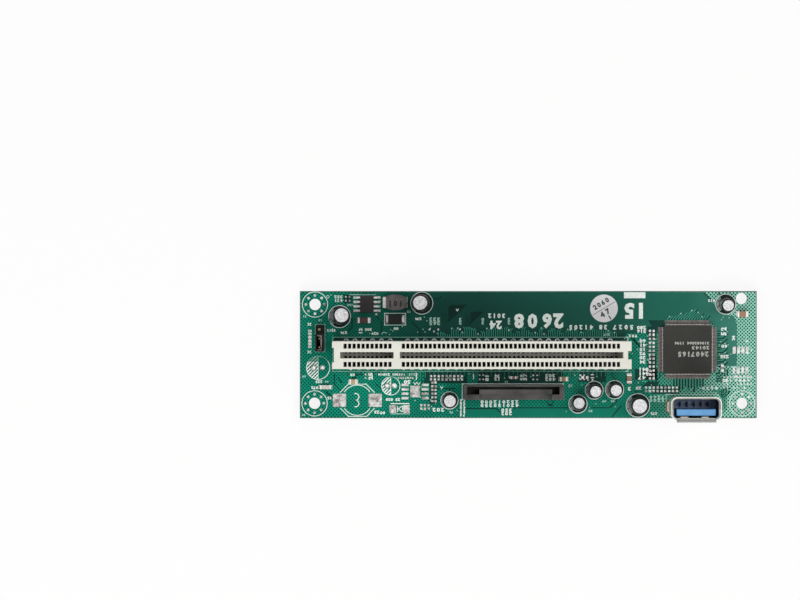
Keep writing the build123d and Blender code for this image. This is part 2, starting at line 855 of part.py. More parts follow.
# Data port: sheet metal shell with a flared rim, one wider lip, spring tongues and two legs
lower_wall_y = port_y - port_inner_width / 2
with BuildPart() as usb_shell:
    for wall, loft_mode in ((port_wall, Mode.ADD), (0, Mode.SUBTRACT)):
        with BuildSketch(Plane.XY.offset(port_rim_base)):
            with Locations((port_x, port_y)):
                RectangleRounded(
                    port_inner_length + 2 * wall, port_inner_width + 2 * wall, port_corner + wall
                )
        with BuildSketch(Plane.XY.offset(port_top)):
            with Locations((port_x, port_y)):
                RectangleRounded(
                    port_inner_length + 2 * (wall + port_side_flare),
                    port_inner_width + 2 * (wall + port_upper_flare),
                    port_rim_corner + wall,
                )
        loft(mode=loft_mode)
    # the rim's lower side is left open for a wider lip
    with BuildSketch(Plane.XY.offset(port_rim_base)):
        with Locations((port_x, lower_wall_y)):
            Rectangle(port_lip_length, 2 * (port_wall + port_upper_flare))
    extrude(amount=port_rim_rise, mode=Mode.SUBTRACT)
    with BuildSketch(Plane.YZ.offset(port_x)):
        with BuildLine():
            Polyline(
                (lower_wall_y, port_rim_base - port_wall),
                (lower_wall_y - port_wall, port_rim_base - port_wall),
                (lower_wall_y - port_wall, port_rim_base),
                (lower_wall_y - port_wall - port_lip_flare, port_top),
                (lower_wall_y - port_lip_flare, port_top),
                (lower_wall_y, port_rim_base),
                close=True,
            )
        make_face()
    extrude(amount=port_lip_length / 2, both=True)
    with BuildSketch(Plane.XY.offset(port_bottom)):
        with Locations((port_x, port_y)):
            RectangleRounded(port_outer_length, port_outer_width, port_corner + port_wall)
            RectangleRounded(port_inner_length, port_inner_width, port_corner, mode=Mode.SUBTRACT)
    extrude(amount=port_rim_base - port_bottom)
    # windows for the spring tongues in the long sides
    with BuildSketch(Plane.XZ.offset(-port_y)):
        with Locations((port_x, board_top + port_spring_base + port_spring_height / 2)):
            with GridLocations(2 * port_spring_offset, 1, 2, 1):
                Rectangle(port_spring_width + 2 * port_spring_gap, port_spring_height)
    extrude(amount=port_outer_width, both=True, mode=Mode.SUBTRACT)
    # spring tongues, fixed at their lower end and pushed inwards
    spring_low = board_top + port_spring_base
    spring_high = spring_low + port_spring_height - 2 * port_spring_gap
    for spring_x in (port_x - port_spring_offset, port_x + port_spring_offset):
        with BuildSketch(Plane.YZ.offset(spring_x)):
            for side in (1, -1):
                inner = port_y + side * port_inner_width / 2
                with BuildLine():
                    Polyline(
                        (inner, spring_low),
                        (inner + side * port_wall, spring_low),
                        (inner + side * (port_wall - port_spring_push), spring_high),
                        (inner - side * port_spring_push, spring_high),
                        close=True,
                    )
                make_face()
        extrude(amount=port_spring_width / 2, both=True)
    with BuildSketch(Plane.XY):
        with Locations(*port_leg_points):
            Rectangle(port_wall, port_leg_width)
    extrude(amount=port_bottom + port_wall)
usb_shell.part.label = "usb_shell"
export_step(usb_shell.part, "parts/usb_shell.step")


with BuildPart() as usb_long_contacts:
    with BuildSketch(Plane.XY):
        with Locations(*long_contact_points):
            Rectangle(short_contact_width, port_contact_thickness)
    extrude(amount=port_bottom)
    with BuildSketch(Plane.XY.offset(port_bottom)):
        with Locations(*long_contact_points):
            Rectangle(long_contact_width, port_contact_thickness)
    extrude(amount=port_top - tongue_top_gap - long_contact_end - port_bottom)
usb_long_contacts.part.label = "usb_long_contacts"
export_step(usb_long_contacts.part, "parts/usb_long_contacts.step")

with BuildPart() as usb_short_contacts:
    with BuildSketch(Plane.XY):
        with Locations(*short_contact_points):
            Rectangle(short_contact_width, port_contact_thickness)
    extrude(amount=port_base_top + short_contact_height)
usb_short_contacts.part.label = "usb_short_contacts"
export_step(usb_short_contacts.part, "parts/usb_short_contacts.step")

# Moulded insulator: a base that fills the shell's foot, with the tongue standing on it
with BuildPart() as usb_insulator:
    with BuildSketch(Plane.XY.offset(port_bottom)):
        with Locations((port_x, port_y)):
            RectangleRounded(
                port_inner_length - 2 * port_fit, port_inner_width - 2 * port_fit, port_corner
            )
    extrude(amount=port_base_top - port_bottom)
    with BuildSketch(Plane.XY.offset(port_base_top)):
        with Locations((port_x, tongue_y)):
            Rectangle(tongue_length, tongue_thickness)
    extrude(amount=port_top - tongue_top_gap - port_base_top)
    chamfer(usb_insulator.faces().sort_by(Axis.Z)[-1].edges(), length=port_fit * 4)
    with BuildSketch(Plane.XY.offset(port_base_top)):
        with Locations(*short_contact_points):
            Rectangle(port_well_width, port_well_depth)
    extrude(amount=-port_well_depth, mode=Mode.SUBTRACT)
    add(usb_long_contacts.part, mode=Mode.SUBTRACT)
    add(usb_short_contacts.part, mode=Mode.SUBTRACT)
usb_insulator.part.label = "usb_insulator"
export_step(usb_insulator.part, "parts/usb_insulator.step")

# Power inlet: flat contacts on the face of a tongue inside a shroud
with BuildPart() as sata_power_contacts:
    with BuildSketch(Plane.XY):
        with Locations(*inlet_contact_points):
            Rectangle(inlet_tail_width, inlet_contact_thickness)
    extrude(amount=board_top)
    with BuildSketch(Plane.XY.offset(board_top)):
        with Locations(*inlet_contact_points):
            Rectangle(inlet_contact_width, inlet_contact_thickness)
    extrude(amount=inlet_height - inlet_contact_end)
sata_power_contacts.part.label = "sata_power_contacts"
export_step(sata_power_contacts.part, "parts/sata_power_contacts.step")

inlet_back = inlet_front - inlet_width
inlet_guide_y = inlet_front - inlet_front_wall - inlet_guide_width / 2
with BuildPart() as sata_power_housing:
    with BuildSketch(Plane.XY.offset(board_top)):
        with Locations((inlet_x, inlet_y)):
            Rectangle(inlet_length, inlet_width)
    extrude(amount=inlet_height)
    with BuildSketch(Plane.XY.offset(inlet_top)):
        with Locations((inlet_tongue_x, inlet_front - inlet_front_wall - inlet_front_gap / 2)):
            Rectangle(inlet_tongue_length, inlet_front_gap)
        with Locations((inlet_tongue_left - inlet_left_guide / 2, inlet_guide_y)):
            Rectangle(inlet_left_guide, inlet_guide_width)
        with Locations(
            (inlet_tongue_left + inlet_tongue_length + inlet_right_guide / 2, inlet_guide_y)
        ):
            Rectangle(inlet_right_guide, inlet_guide_width)
    extrude(amount=inlet_base - inlet_height, mode=Mode.SUBTRACT)
    # the back of the tongue steps down to a shelf
    shelf_width = inlet_width - inlet_front_wall - inlet_front_gap - inlet_tongue
    with BuildSketch(Plane.XY.offset(inlet_top)):
        with Locations((inlet_tongue_x, inlet_back + shelf_width / 2)):
            Rectangle(inlet_tongue_length, shelf_width)
    extrude(amount=-inlet_shelf_drop, mode=Mode.SUBTRACT)
    with BuildSketch(Plane.XY.offset(board_bottom - peg_reach)):
        with Locations(*inlet_peg_points):
            Circle(inlet_peg_radius)
    extrude(amount=board_thickness + peg_reach)
    add(sata_power_contacts.part, mode=Mode.SUBTRACT)
sata_power_housing.part.label = "sata_power_housing"
export_step(sata_power_housing.part, "parts/sata_power_housing.step")

# Pin header with a jumper cap over its last two pins
header_length = header_pins_count * header_pitch
with BuildPart() as header_pins:
    with BuildSketch(Plane.XY):
        with Locations(*header_points):
            Rectangle(header_pin, header_pin)
    extrude(amount=board_top + header_pin_height)
    chamfer(header_pins.faces().group_by(Axis.Z)[-1].edges(), length=header_pin / 4)
header_pins.part.label = "header_pins"
export_step(header_pins.part, "parts/header_pins.step")

with BuildPart() as header_base:
    with BuildSketch(Plane.XY.offset(board_top)):
        for point in header_points:
            with Locations(point):
                with BuildSketch(mode=Mode.PRIVATE) as cell:
                    Rectangle(header_width, header_pitch)
                    chamfer(cell.vertices(), length=header_width / 6)
                add(cell.sketch)
        with Locations((header_x, header_y)):
            Rectangle(header_width, header_length - header_width / 3)
    extrude(amount=header_base_height)
    add(header_pins.part, mode=Mode.SUBTRACT)
header_base.part.label = "header_base"
export_step(header_base.part, "parts/header_base.step")

jumper_y = (header_points[-1][1] + header_points[-2][1]) / 2
jumper_bottom = board_top + header_base_height + jumper_seat_gap
with BuildPart() as jumper_cap:
    with BuildSketch(Plane.XY.offset(jumper_bottom)):
        with Locations((header_x, jumper_y)):
            Rectangle(jumper_width, jumper_length)
            Rectangle(
                jumper_width - 2 * jumper_wall, jumper_length - 2 * jumper_wall, mode=Mode.SUBTRACT
            )
    extrude(amount=jumper_height)
jumper_cap.part.label = "jumper_cap"
export_step(jumper_cap.part, "parts/jumper_cap.step")

clip_length = jumper_length - 2 * jumper_wall
clip_back = header_x + header_pin / 2 + jumper_clip_gap
with BuildPart() as jumper_clip:
    with BuildSketch(Plane.XY.offset(jumper_bottom)):
        with Locations((clip_back + jumper_clip_thickness / 2, jumper_y)):
            Rectangle(jumper_clip_thickness, clip_length)
        with Locations((clip_back - jumper_clip_flange / 2, jumper_y)):
            with GridLocations(1, clip_length - jumper_clip_thickness, 1, 2):
                Rectangle(jumper_clip_flange, jumper_clip_thickness)
    extrude(amount=jumper_clip_height)
jumper_clip.part.label = "jumper_clip"
export_step(jumper_clip.part, "parts/jumper_clip.step")


def can_foot(x, y, diameter, lean):
    """Plane across a can's foot: the can leans, and its low edge rests on the board."""
    axis = Vector(lean[0], lean[1], can_height)
    rise = diameter / 2 * hypot(*lean) / axis.length
    return Plane(origin=(x, y, board_top + rise), z_dir=axis.normalized())


def lathe_plane(foot):
    """Plane through a can's axis, for profiles given as radius and height."""
    return Plane(origin=foot.origin, x_dir=foot.x_dir, z_dir=foot.x_dir.cross(foot.z_dir))


def capacitor_can(foot, radius):
    """Drawn can with a crimp above its rim and a rounded top edge, open below for its bung."""
    edge = can_height - can_edge_radius
    with BuildPart() as can:
        with BuildSketch(lathe_plane(foot)):
            with BuildLine():
                Polyline(
                    (radius - can_edge_radius, can_height),
                    (0, can_height),
                    (0, bung_height),
                    (radius - can_rim, bung_height),
                    (radius - can_rim, 0),
                    (radius, 0),
                    (radius, crimp_low),
                    (radius - crimp_depth, (crimp_low + crimp_high) / 2),
                    (radius, crimp_high),
                    (radius, edge),
                )
                RadiusArc(
                    (radius - can_edge_radius, can_height), (radius, edge), can_edge_radius
                )
            make_face()
        revolve(axis=Axis(foot.origin, foot.z_dir))
    return can.part


def capacitor_sleeve(foot, radius, bare_radius):
    """Shrunk sleeve that follows the can's side and turns in over its top edge."""
    edge = can_height - can_edge_radius
    outer = radius + sleeve_thickness
    lip = can_height + sleeve_thickness
    with BuildPart() as sleeve:
        with BuildSketch(lathe_plane(foot)):
            with BuildLine():
                Polyline(
                    (radius, edge),
                    (radius, crimp_high),
                    (radius - crimp_depth, (crimp_low + crimp_high) / 2),
                    (radius, crimp_low),
                    (radius, sleeve_thickness),
                    (outer, sleeve_thickness),
                    (outer, crimp_low),
                    (outer - crimp_depth, (crimp_low + crimp_high) / 2),
                    (outer, crimp_high),
                    (outer, edge),
                )
                RadiusArc(
                    (radius - can_edge_radius, lip),
                    (outer, edge),
                    can_edge_radius + sleeve_thickness,
                )
                Polyline(
                    (radius - can_edge_radius, lip),
                    (bare_radius, lip),
                    (bare_radius, can_height),
                    (radius - can_edge_radius, can_height),
                )
                RadiusArc(
                    (radius - can_edge_radius, can_height), (radius, edge), can_edge_radius
                )
            make_face()
        revolve(axis=Axis(foot.origin, foot.z_dir))
    return sleeve.part


# Capacitors one to eight, each a can in a sleeve
for number, (cap_x, cap_y, diameter, ring, bare, lean) in enumerate(capacitors, start=1):
    foot = can_foot(cap_x, cap_y, diameter, lean)
    can = capacitor_can(foot, diameter / 2 - sleeve_thickness)
    can.label = f"capacitor_can_{number}"
    export_step(can, f"parts/capacitor_can_{number}.step")
    sleeve = capacitor_sleeve(foot, diameter / 2 - sleeve_thickness, bare)
    sleeve.label = f"capacitor_sleeve_{number}"
    export_step(sleeve, f"parts/capacitor_sleeve_{number}.step")

with BuildPart() as capacitor_bungs:
    for cap_x, cap_y, diameter, ring, bare, lean in capacitors:
        with BuildSketch(can_foot(cap_x, cap_y, diameter, lean)):
            Circle(diameter / 2 - sleeve_thickness - can_rim)
        extrude(amount=bung_height)
    with BuildSketch(Plane.XY):
        with Locations(*capacitor_lead_points):
            Circle(capacitor_lead_radius)
    extrude(amount=board_top + bung_height / 2, mode=Mode.SUBTRACT)
capacitor_bungs.part.label = "capacitor_bungs"
export_step(capacitor_bungs.part, "parts/capacitor_bungs.step")

with BuildPart() as capacitor_leads:
    with BuildSketch(Plane.XY):
        with Locations(*capacitor_lead_points):
            Circle(capacitor_lead_radius)
    extrude(amount=board_top + bung_height / 2)
capacitor_leads.part.label = "capacitor_leads"
export_step(capacitor_leads.part, "parts/capacitor_leads.step")

# Chip parts: a body between two plated ends that stand a little proud of it
with BuildPart() as chip_bodies:
    for chip_x, chip_y, size_x, size_y, height, lies_along_x in chips:
        with BuildSketch(Plane.XY.offset(part_seat + chip_end_proud)):
            with Locations((chip_x, chip_y)):
                if lies_along_x:
                    Rectangle(size_x - 2 * chip_end, size_y - 2 * chip_end_proud)
                else:
                    Rectangle(size_x - 2 * chip_end_proud, size_y - 2 * chip_end)
        extrude(amount=height - 2 * chip_end_proud)
chip_bodies.part.label = "chip_bodies"
export_step(chip_bodies.part, "parts/chip_bodies.step")

with BuildPart() as chip_ends:
    for chip_x, chip_y, size_x, size_y, height, lies_along_x in chips:
        with BuildSketch(Plane.XY.offset(part_seat)):
            with Locations((chip_x, chip_y)):
                if lies_along_x:
                    with GridLocations(size_x - chip_end, 1, 2, 1):
                        Rectangle(chip_end, size_y)
                else:
                    with GridLocations(1, size_y - chip_end, 1, 2):
                        Rectangle(size_x, chip_end)
        extrude(amount=height)
chip_ends.part.label = "chip_ends"
export_step(chip_ends.part, "parts/chip_ends.step")

# Tinned pads on the upper face
square_pads = (
    column(from_left(2.88), from_upper(11.53), 5, 1.12)
    + row(from_left(35.03), from_lower(3.76), 3, 1.08)
    + row(from_left(35.03), from_lower(2.77), 3, 1.08)
    + column(from_left(38.26), from_lower(10.31), 6, 1.074)
    + column(from_left(39.18), from_lower(10.31), 6, 1.074)
    + row(from_left(37.86), from_lower(12.13), 9, 1.12)
    + row(from_left(37.86), from_lower(11.18), 9, 1.12)
    + column(from_right(30.84), slot_y + 6.72, 13, 1.14)
    + column(from_right(29.77), slot_y + 6.72, 13, 1.14)
    + row(from_right(31.99), slot_y - 9.61, 9, 1.12)
    + row(from_right(31.99), slot_y - 10.62, 9, 1.12)
    + [(from_right(12.95), from_lower(9.01))]
    + row(from_right(6.0), slot_y - 6.4, 4, 1.2)
    + row(from_right(6.0), slot_y - 7.5, 4, 1.2)
)
row_spacing = regulator_width + regulator_pad_length - regulator_pad_overlap
with BuildPart() as solder_pads:
    with BuildSketch(Plane.XY.offset(board_top)):
        with Locations((regulator_x, regulator_y)):
            with GridLocations(row_spacing, regulator_pitch, 2, regulator_leads_per_side):
                Rectangle(regulator_pad_length, regulator_pad_width)
        with Locations((inductor_x, inductor_y)):
            with GridLocations(inductor_length, 1, 2, 1):
                Rectangle(inductor_pad_length, inductor_clip_width)
        with Locations((diode_x, diode_y)):
            with GridLocations(diode_length, 1, 2, 1):
                Rectangle(diode_pad_length, diode_pad_width)
        for chip_x, chip_y, size_x, size_y, height, lies_along_x in chips:
            with Locations((chip_x, chip_y)):
                if lies_along_x:
                    with GridLocations(size_x, 1, 2, 1):
                        Rectangle(2 * chip_end, size_y)
                else:
                    with GridLocations(1, size_y, 1, 2):
                        Rectangle(size_x, 2 * chip_end)
        with Locations(*square_pads):
            Rectangle(square_pad_side, square_pad_side)
        with Locations(coil_footprint):
            with GridLocations(coil_pad_spacing, 1, 2, 1):
                Rectangle(coil_pad_side, coil_pad_side)
        with Locations(thermal_chip):
            Rectangle(thermal_pad_length, thermal_pad_width)
            with GridLocations(row_spacing, regulator_pitch, 2, regulator_leads_per_side):
                Rectangle(regulator_pad_length, regulator_pad_width)
        with Locations(small_chip):
            with GridLocations(regulator_pitch, row_spacing, regulator_leads_per_side, 2):
                Rectangle(regulator_pad_width, regulator_pad_length)
        with Locations(spare_diode):
            with GridLocations(spare_pad_spacing, 1, 2, 1):
                Rectangle(spare_pad_length, spare_pad_width)
        for hole in ringed_holes:
            with Locations(hole):
                with PolarLocations(ring_via_radius, ring_via_count):
                    Circle(via_pad_radius)
    extrude(amount=pad_thickness)
    with BuildSketch(Plane.XY.offset(board_top)):
        with Locations(*outer_row_points):
            Circle(lead_pad_radius)
        with Locations(*empty_lead_points):
            Circle(lead_pad_radius)
        with Locations(*port_leg_points):
            SlotOverall(
                port_leg_width + 2 * port_leg_pad_margin,
                port_wall + 2 * port_leg_pad_margin,
                rotation=90,
            )
    extrude(amount=pad_thickness)
    with BuildSketch(Plane.XY.offset(board_top)):
        with Locations(*outer_row_points):
            Circle(lead_hole_radius)
        with Locations(*empty_lead_points):
            Circle(footprint_lead_hole)
        with Locations(*port_leg_points):
            SlotOverall(
                port_leg_width + 2 * port_leg_clearance,
                port_wall + 2 * port_leg_clearance,
                rotation=90,
            )
    extrude(amount=pad_thickness, mode=Mode.SUBTRACT)
solder_pads.part.label = "solder_pads"
export_step(solder_pads.part, "parts/solder_pads.step")


def ring_print(radius):
    with BuildSketch() as ring:
        Circle(radius + print_line / 2)
        Circle(radius - print_line / 2, mode=Mode.SUBTRACT)
    return ring.sketch


def box_print(length, width):
    with BuildSketch() as box:
        Rectangle(length + print_line, width + print_line)
        Rectangle(length - print_line, width - print_line, mode=Mode.SUBTRACT)
    return box.sketch


def negative_half(radius, lead_offsets):
    """Diagonal bars over a ring's left half, clear of the pads inside it."""
    bars = int(2 * radius / print_bar_pitch) + 2
    with BuildSketch() as half:
        with Locations(Location((0, 0, 0), (0, 0, -45))):
            with GridLocations(print_bar_pitch, 1, bars, 1):
                Rectangle(print_bar_pitch / 2, 3 * radius)
        Circle(radius, mode=Mode.INTERSECT)
        with Locations((radius, 0)):
            Rectangle(2 * radius, 2 * radius, mode=Mode.SUBTRACT)
        for lead_offset in lead_offsets:
            with Locations((lead_offset, 0)):
                Circle(lead_pad_radius + print_line, mode=Mode.SUBTRACT)
    return half.sketch


# White print on the upper face
with BuildPart() as silkscreen:
    with BuildSketch(Plane.XY.offset(board_top)):
        for cap_x, cap_y, diameter, ring, bare, lean in capacitors:
            with Locations((cap_x, cap_y)):
                add(ring_print(ring))
        for ring_x, ring_y, ring_radius, left_lead, right_lead in empty_rings:
            with Locations((ring_x, ring_y)):
                add(ring_print(ring_radius))
                add(negative_half(ring_radius, (left_lead, right_lead)))
                Rectangle(print_line, 2 * ring_radius)
        for hole in ringed_holes:
            with Locations(hole):
                add(ring_print(mount_ring_radius))
        with Locations((slot_x, slot_y)):
            add(box_print(slot_length + print_margin, 2 * slot_print_reach))
        with Locations((inlet_x, inlet_y)):
            add(box_print(inlet_length + 2 * print_margin, inlet_width + print_margin))
        with Locations((diode_x, diode_y)):
            add(box_print(diode_print_length, diode_print_width))
        with Locations((header_x, header_y)):
            add(box_print(header_width + print_margin, header_length + print_margin))
        with Locations(coil_footprint):
            with GridLocations(1, coil_print_width, 1, 2):
                Rectangle(coil_print_length, print_line)
    extrude(amount=print_thickness)
silkscreen.part.label = "silkscreen"
export_step(silkscreen.part, "parts/silkscreen.step")

with BuildPart() as inspection_sticker:
    with BuildSketch(Plane.XY.offset(board_top)):
        with Locations(sticker_point):
            Circle(sticker_radius)
    extrude(amount=sticker_thickness)
inspection_sticker.part.label = "inspection_sticker"
export_step(inspection_sticker.part, "parts/inspection_sticker.step")
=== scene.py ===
import math
import random

import bmesh
import bpy
from mathutils import Matrix, Vector


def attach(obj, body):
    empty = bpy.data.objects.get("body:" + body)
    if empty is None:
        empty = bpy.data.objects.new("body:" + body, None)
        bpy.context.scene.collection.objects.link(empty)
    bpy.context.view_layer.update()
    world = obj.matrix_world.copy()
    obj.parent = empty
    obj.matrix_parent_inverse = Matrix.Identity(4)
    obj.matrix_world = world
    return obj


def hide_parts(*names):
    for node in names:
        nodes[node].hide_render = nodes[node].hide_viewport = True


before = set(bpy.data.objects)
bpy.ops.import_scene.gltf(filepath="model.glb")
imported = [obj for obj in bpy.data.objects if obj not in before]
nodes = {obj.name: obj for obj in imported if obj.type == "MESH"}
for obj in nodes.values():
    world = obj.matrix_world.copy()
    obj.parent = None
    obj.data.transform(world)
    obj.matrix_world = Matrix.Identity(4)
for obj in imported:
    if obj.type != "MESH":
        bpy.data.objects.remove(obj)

scene = bpy.context.scene
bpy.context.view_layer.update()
random.seed(7)

MM = 0.001
BOARD_MIDDLE, BOARD_TOP = 2.2, 3.0
STICKER_TOP = BOARD_TOP + 0.1
CHIP_X, CHIP_Y, CHIP_TOP = 45.88, 1.5, BOARD_TOP + 1.5
PORT_X, PORT_Y = 47.19, -15.1
COIL_X, COIL_TOP = -38.5, 6.5
SLOT_TOP, SLOT_Y, CARD_GAP_DEPTH = 18.49, 0.1, 9.0

# the photograph's camera: its place in mm, then its focal length and middle in pixels
CAMERA_X, CAMERA_Y, CAMERA_Z = -37.04, 15.77, 853.0
FOCAL_PIXELS = 2945.0
MIDDLE_X, MIDDLE_Y = 400, 300
PIXEL = 0.2886  # its width at the board's top

# camera and lights

camera_data = bpy.data.cameras.new("camera")
camera_data.sensor_width = 36.0
camera_data.lens = 132.5
camera_data.clip_start = 0.05
camera_data.clip_end = 20.0
camera = bpy.data.objects.new("camera", camera_data)
camera.location = (CAMERA_X * MM, CAMERA_Y * MM, CAMERA_Z * MM)
scene.collection.objects.link(camera)
scene.camera = camera


def softbox(name, place, aim, width, height, power):
    """A rectangular lamp that looks from its place at a point; sizes in metres."""
    data = bpy.data.lights.new(name, "AREA")
    data.shape = "RECTANGLE"
    data.size = width
    data.size_y = height
    data.energy = power
    lamp = bpy.data.objects.new(name, data)
    lamp.location = place
    direction = Vector(aim) - Vector(place)
    lamp.rotation_mode = "QUATERNION"
    lamp.rotation_quaternion = direction.to_track_quat("-Z", "Y")
    scene.collection.objects.link(lamp)


softbox("key_front", (-0.10, -0.75, 0.80), (0, 0, 0), 0.9, 0.5, 6.6)
softbox("side_right", (0.46, 0.08, 0.92), (0.04, 0, 0), 0.40, 0.6, 2.6)
softbox("fill_left", (-0.85, 0.05, 0.60), (0, 0, 0), 0.6, 0.6, 2.0)

scene.view_settings.view_transform = "Standard"


# node helpers


def srgb(*channels):
    """A colour given as 0 to 255 on screen, as the shader wants it."""
    shares = [value / 255 for value in channels]
    linear = [s / 12.92 if s <= 0.04045 else ((s + 0.055) / 1.055) ** 2.4 for s in shares]
    return (*linear, 1.0)


class Shader:
    """A material's node tree with short names for the nodes used here."""

    def __init__(self, name):
        self.material = bpy.data.materials.new(name)
        self.material.use_nodes = True
        self.tree = self.material.node_tree
        self.tree.nodes.clear()
        self.output = self.node("OutputMaterial")
        self.surface = self.node("BsdfPrincipled")
        self.join(self.surface.outputs["BSDF"], self.output.inputs["Surface"])
        self.place = self.node("TexCoord").outputs["Object"]

    def node(self, kind):
        return self.tree.nodes.new("ShaderNode" + kind)

    def join(self, source, target):
        self.tree.links.new(source, target)

    def put(self, source, target):
        """A socket is linked, a number is written, three numbers are a colour on screen."""
        if isinstance(source, bpy.types.NodeSocket):
            self.join(source, target)
        else:
            target.default_value = srgb(*source) if isinstance(source, tuple) else source

    def math(self, operation, first, second=0.0, third=None, clamp=False):
        node = self.node("Math")
        node.operation = operation
        node.use_clamp = clamp
        self.put(first, node.inputs[0])
        self.put(second, node.inputs[1])
        if third is not None:
            self.put(third, node.inputs[2])
        return node.outputs[0]

    def times(self, first, second):
        return self.math("MULTIPLY", first, second)

    def above(self, value, limit):
        return self.math("GREATER_THAN", value, limit)

    def below(self, value, limit):
        return self.math("LESS_THAN", value, limit)

    def axes(self, vector=None):
        node = self.node("SeparateXYZ")
        self.put(vector or self.place, node.inputs[0])
        return node.outputs[0], node.outputs[1], node.outputs[2]

    def normal(self):
        return self.axes(self.node("NewGeometry").outputs["True Normal"])

    def noise(self, per_metre, detail=3.0, roughness=0.55, vector=None):
        node = self.node("TexNoise")
        node.inputs["Scale"].default_value = per_metre
        node.inputs["Detail"].default_value = detail
        node.inputs["Roughness"].default_value = roughness
        self.put(vector or self.place, node.inputs["Vector"])
        return node.outputs["Fac"]

    def stretched(self, x, y, z):
        node = self.node("Mapping")
        self.join(self.place, node.inputs["Vector"])
        node.inputs["Scale"].default_value = (x, y, z)
        return node.outputs["Vector"]

    def ramp(self, factor, *stops):
        """Stops are a position and a colour each."""
        node = self.node("ValToRGB")
        elements = node.color_ramp.elements
        elements[0].position, elements[1].position = stops[0][0], stops[-1][0]
        for position, colour in stops[1:-1]:
            elements.new(position)
        for element, (position, colour) in zip(elements, stops):
            element.color = srgb(*colour)
        self.put(factor, node.inputs[0])
        return node.outputs["Color"]

    def tones(self, noise, low, high):
        """One colour to another over the usual range of a noise."""
        return self.ramp(noise, (0.3, low), (0.7, high))

    def vary(self, noise, low, high):
        """One number to another over the usual range of a noise."""
        return self.spread(noise, 0.3, 0.7, low, high)

    def spread(self, factor, low, high, new_low, new_high):
        node = self.node("MapRange")
        self.put(factor, node.inputs["Value"])
        ends = {"From Min": low, "From Max": high, "To Min": new_low, "To Max": new_high}
        for name, value in ends.items():
            node.inputs[name].default_value = value
        return node.outputs["Result"]

    def mix(self, factor, first, second):
        node = self.node("Mix")
        node.data_type = "RGBA"
        self.put(factor, node.inputs["Factor"])
        self.put(first, node.inputs["A"])
        self.put(second, node.inputs["B"])
        return node.outputs["Result"]

    def bump(self, height, strength, distance_mm, below=None):
        node = self.node("Bump")
        node.inputs["Strength"].default_value = strength
        node.inputs["Distance"].default_value = distance_mm * MM
        self.put(height, node.inputs["Height"])
        if below is not None:
            self.join(below, node.inputs["Normal"])
        return node.outputs["Normal"]

    def edges(self, radius_mm):
        """Nearly 1 at a sharp edge and 0 on flat faces."""
        bevel = self.node("Bevel")
        bevel.samples = 4
        bevel.inputs["Radius"].default_value = radius_mm * MM
        dot = self.node("VectorMath")
        dot.operation = "DOT_PRODUCT"
        self.join(bevel.outputs["Normal"], dot.inputs[0])
        flat = self.node("NewGeometry")
        self.join(flat.outputs["Normal"], dot.inputs[1])
        return self.spread(dot.outputs["Value"], 0.99, 0.78, 0.0, 0.8)

    def set(self, **values):
        names = {
            "colour": "Base Color",
            "roughness": "Roughness",
            "metal": "Metallic",
            "specular": "Specular IOR Level",
            "normal": "Normal",
        }
        for key, value in values.items():
            self.put(value, self.surface.inputs[names[key]])
        return self.material


def between(shader, value, low, high):
    """1 where the value lies from low to high."""
    return shader.times(shader.above(value, low), shader.below(value, high))


def hatch_lines(shader, pitch_mm, share):
    """1 on a grid of diagonal lines of that pitch, each share of the pitch wide."""
    x, y, z = shader.axes()
    masks = []
    for sign in (1, -1):
        along = shader.math("MULTIPLY_ADD", y, sign, x)
        turns = shader.times(along, 1000 / (pitch_mm * math.sqrt(2)))
        masks.append(shader.below(shader.math("FRACT", turns), share))
    return shader.math("MAXIMUM", *masks)


# materials


def mask_surface(shader, colour, hatched=None, fine=0.02):
    """Solder mask over copper: gloss, faint waviness, and the copper's pattern as relief."""
    wave = shader.noise(260, 4)
    waved = shader.bump(wave, 0.10, 0.06)
    normal = shader.bump(hatched, 0.25, 0.012, waved) if hatched is not None else waved
    worn = shader.noise(1900, 5, 0.6)
    return shader.set(
        colour=colour,
        roughness=shader.vary(worn, 0.30 + fine, 0.42 + fine),
        specular=0.12,
        normal=normal,
    )


def hatched_face(shader):
    """Mask colour over hatched copper, with painted sheen at the top's right end, and the hatch."""
    x, y, z = shader.axes()
    grid = hatch_lines(shader, 0.72, 0.36)
    blotch = shader.noise(90, 4)
    top = shader.above(z, BOARD_MIDDLE * MM)
    # painted sheen: the top face's copper and gaps pale towards the right end
    right = shader.times(shader.spread(x, 0.034, 0.058, 0.0, 1.0), top)
    copper = shader.tones(blotch, (0, 128, 102), (8, 146, 118))
    bare = shader.tones(blotch, (0, 56, 48), (0, 70, 60))
    copper = shader.mix(right, copper, (148, 214, 192))
    bare = shader.mix(right, bare, (0, 62, 48))
    return shader.mix(grid, bare, copper), grid


def board_material():
    """Green board: hatched copper under the mask on both faces, bare laminate on the edges."""
    shader = Shader("board_green")
    face, grid = hatched_face(shader)
    glass = shader.noise(1, 3, 0.5, shader.stretched(500, 500, 7000))
    edge = shader.ramp(glass, (0.35, (44, 70, 58)), (0.65, (98, 118, 100)))
    upright = shader.math("ABSOLUTE", shader.normal()[2])
    flat = shader.above(upright, 0.9)
    colour = shader.mix(flat, edge, face)
    return mask_surface(shader, colour, shader.times(grid, flat), 0.0)


def solder_mask(name, low, high):
    """Mask of one colour, a little blotchy."""
    shader = Shader(name)
    blotch = shader.tones(shader.noise(70, 4), low, high)
    fine = shader.times(shader.noise(2600, 3), 0.12)
    return mask_surface(shader, shader.mix(fine, blotch, high))


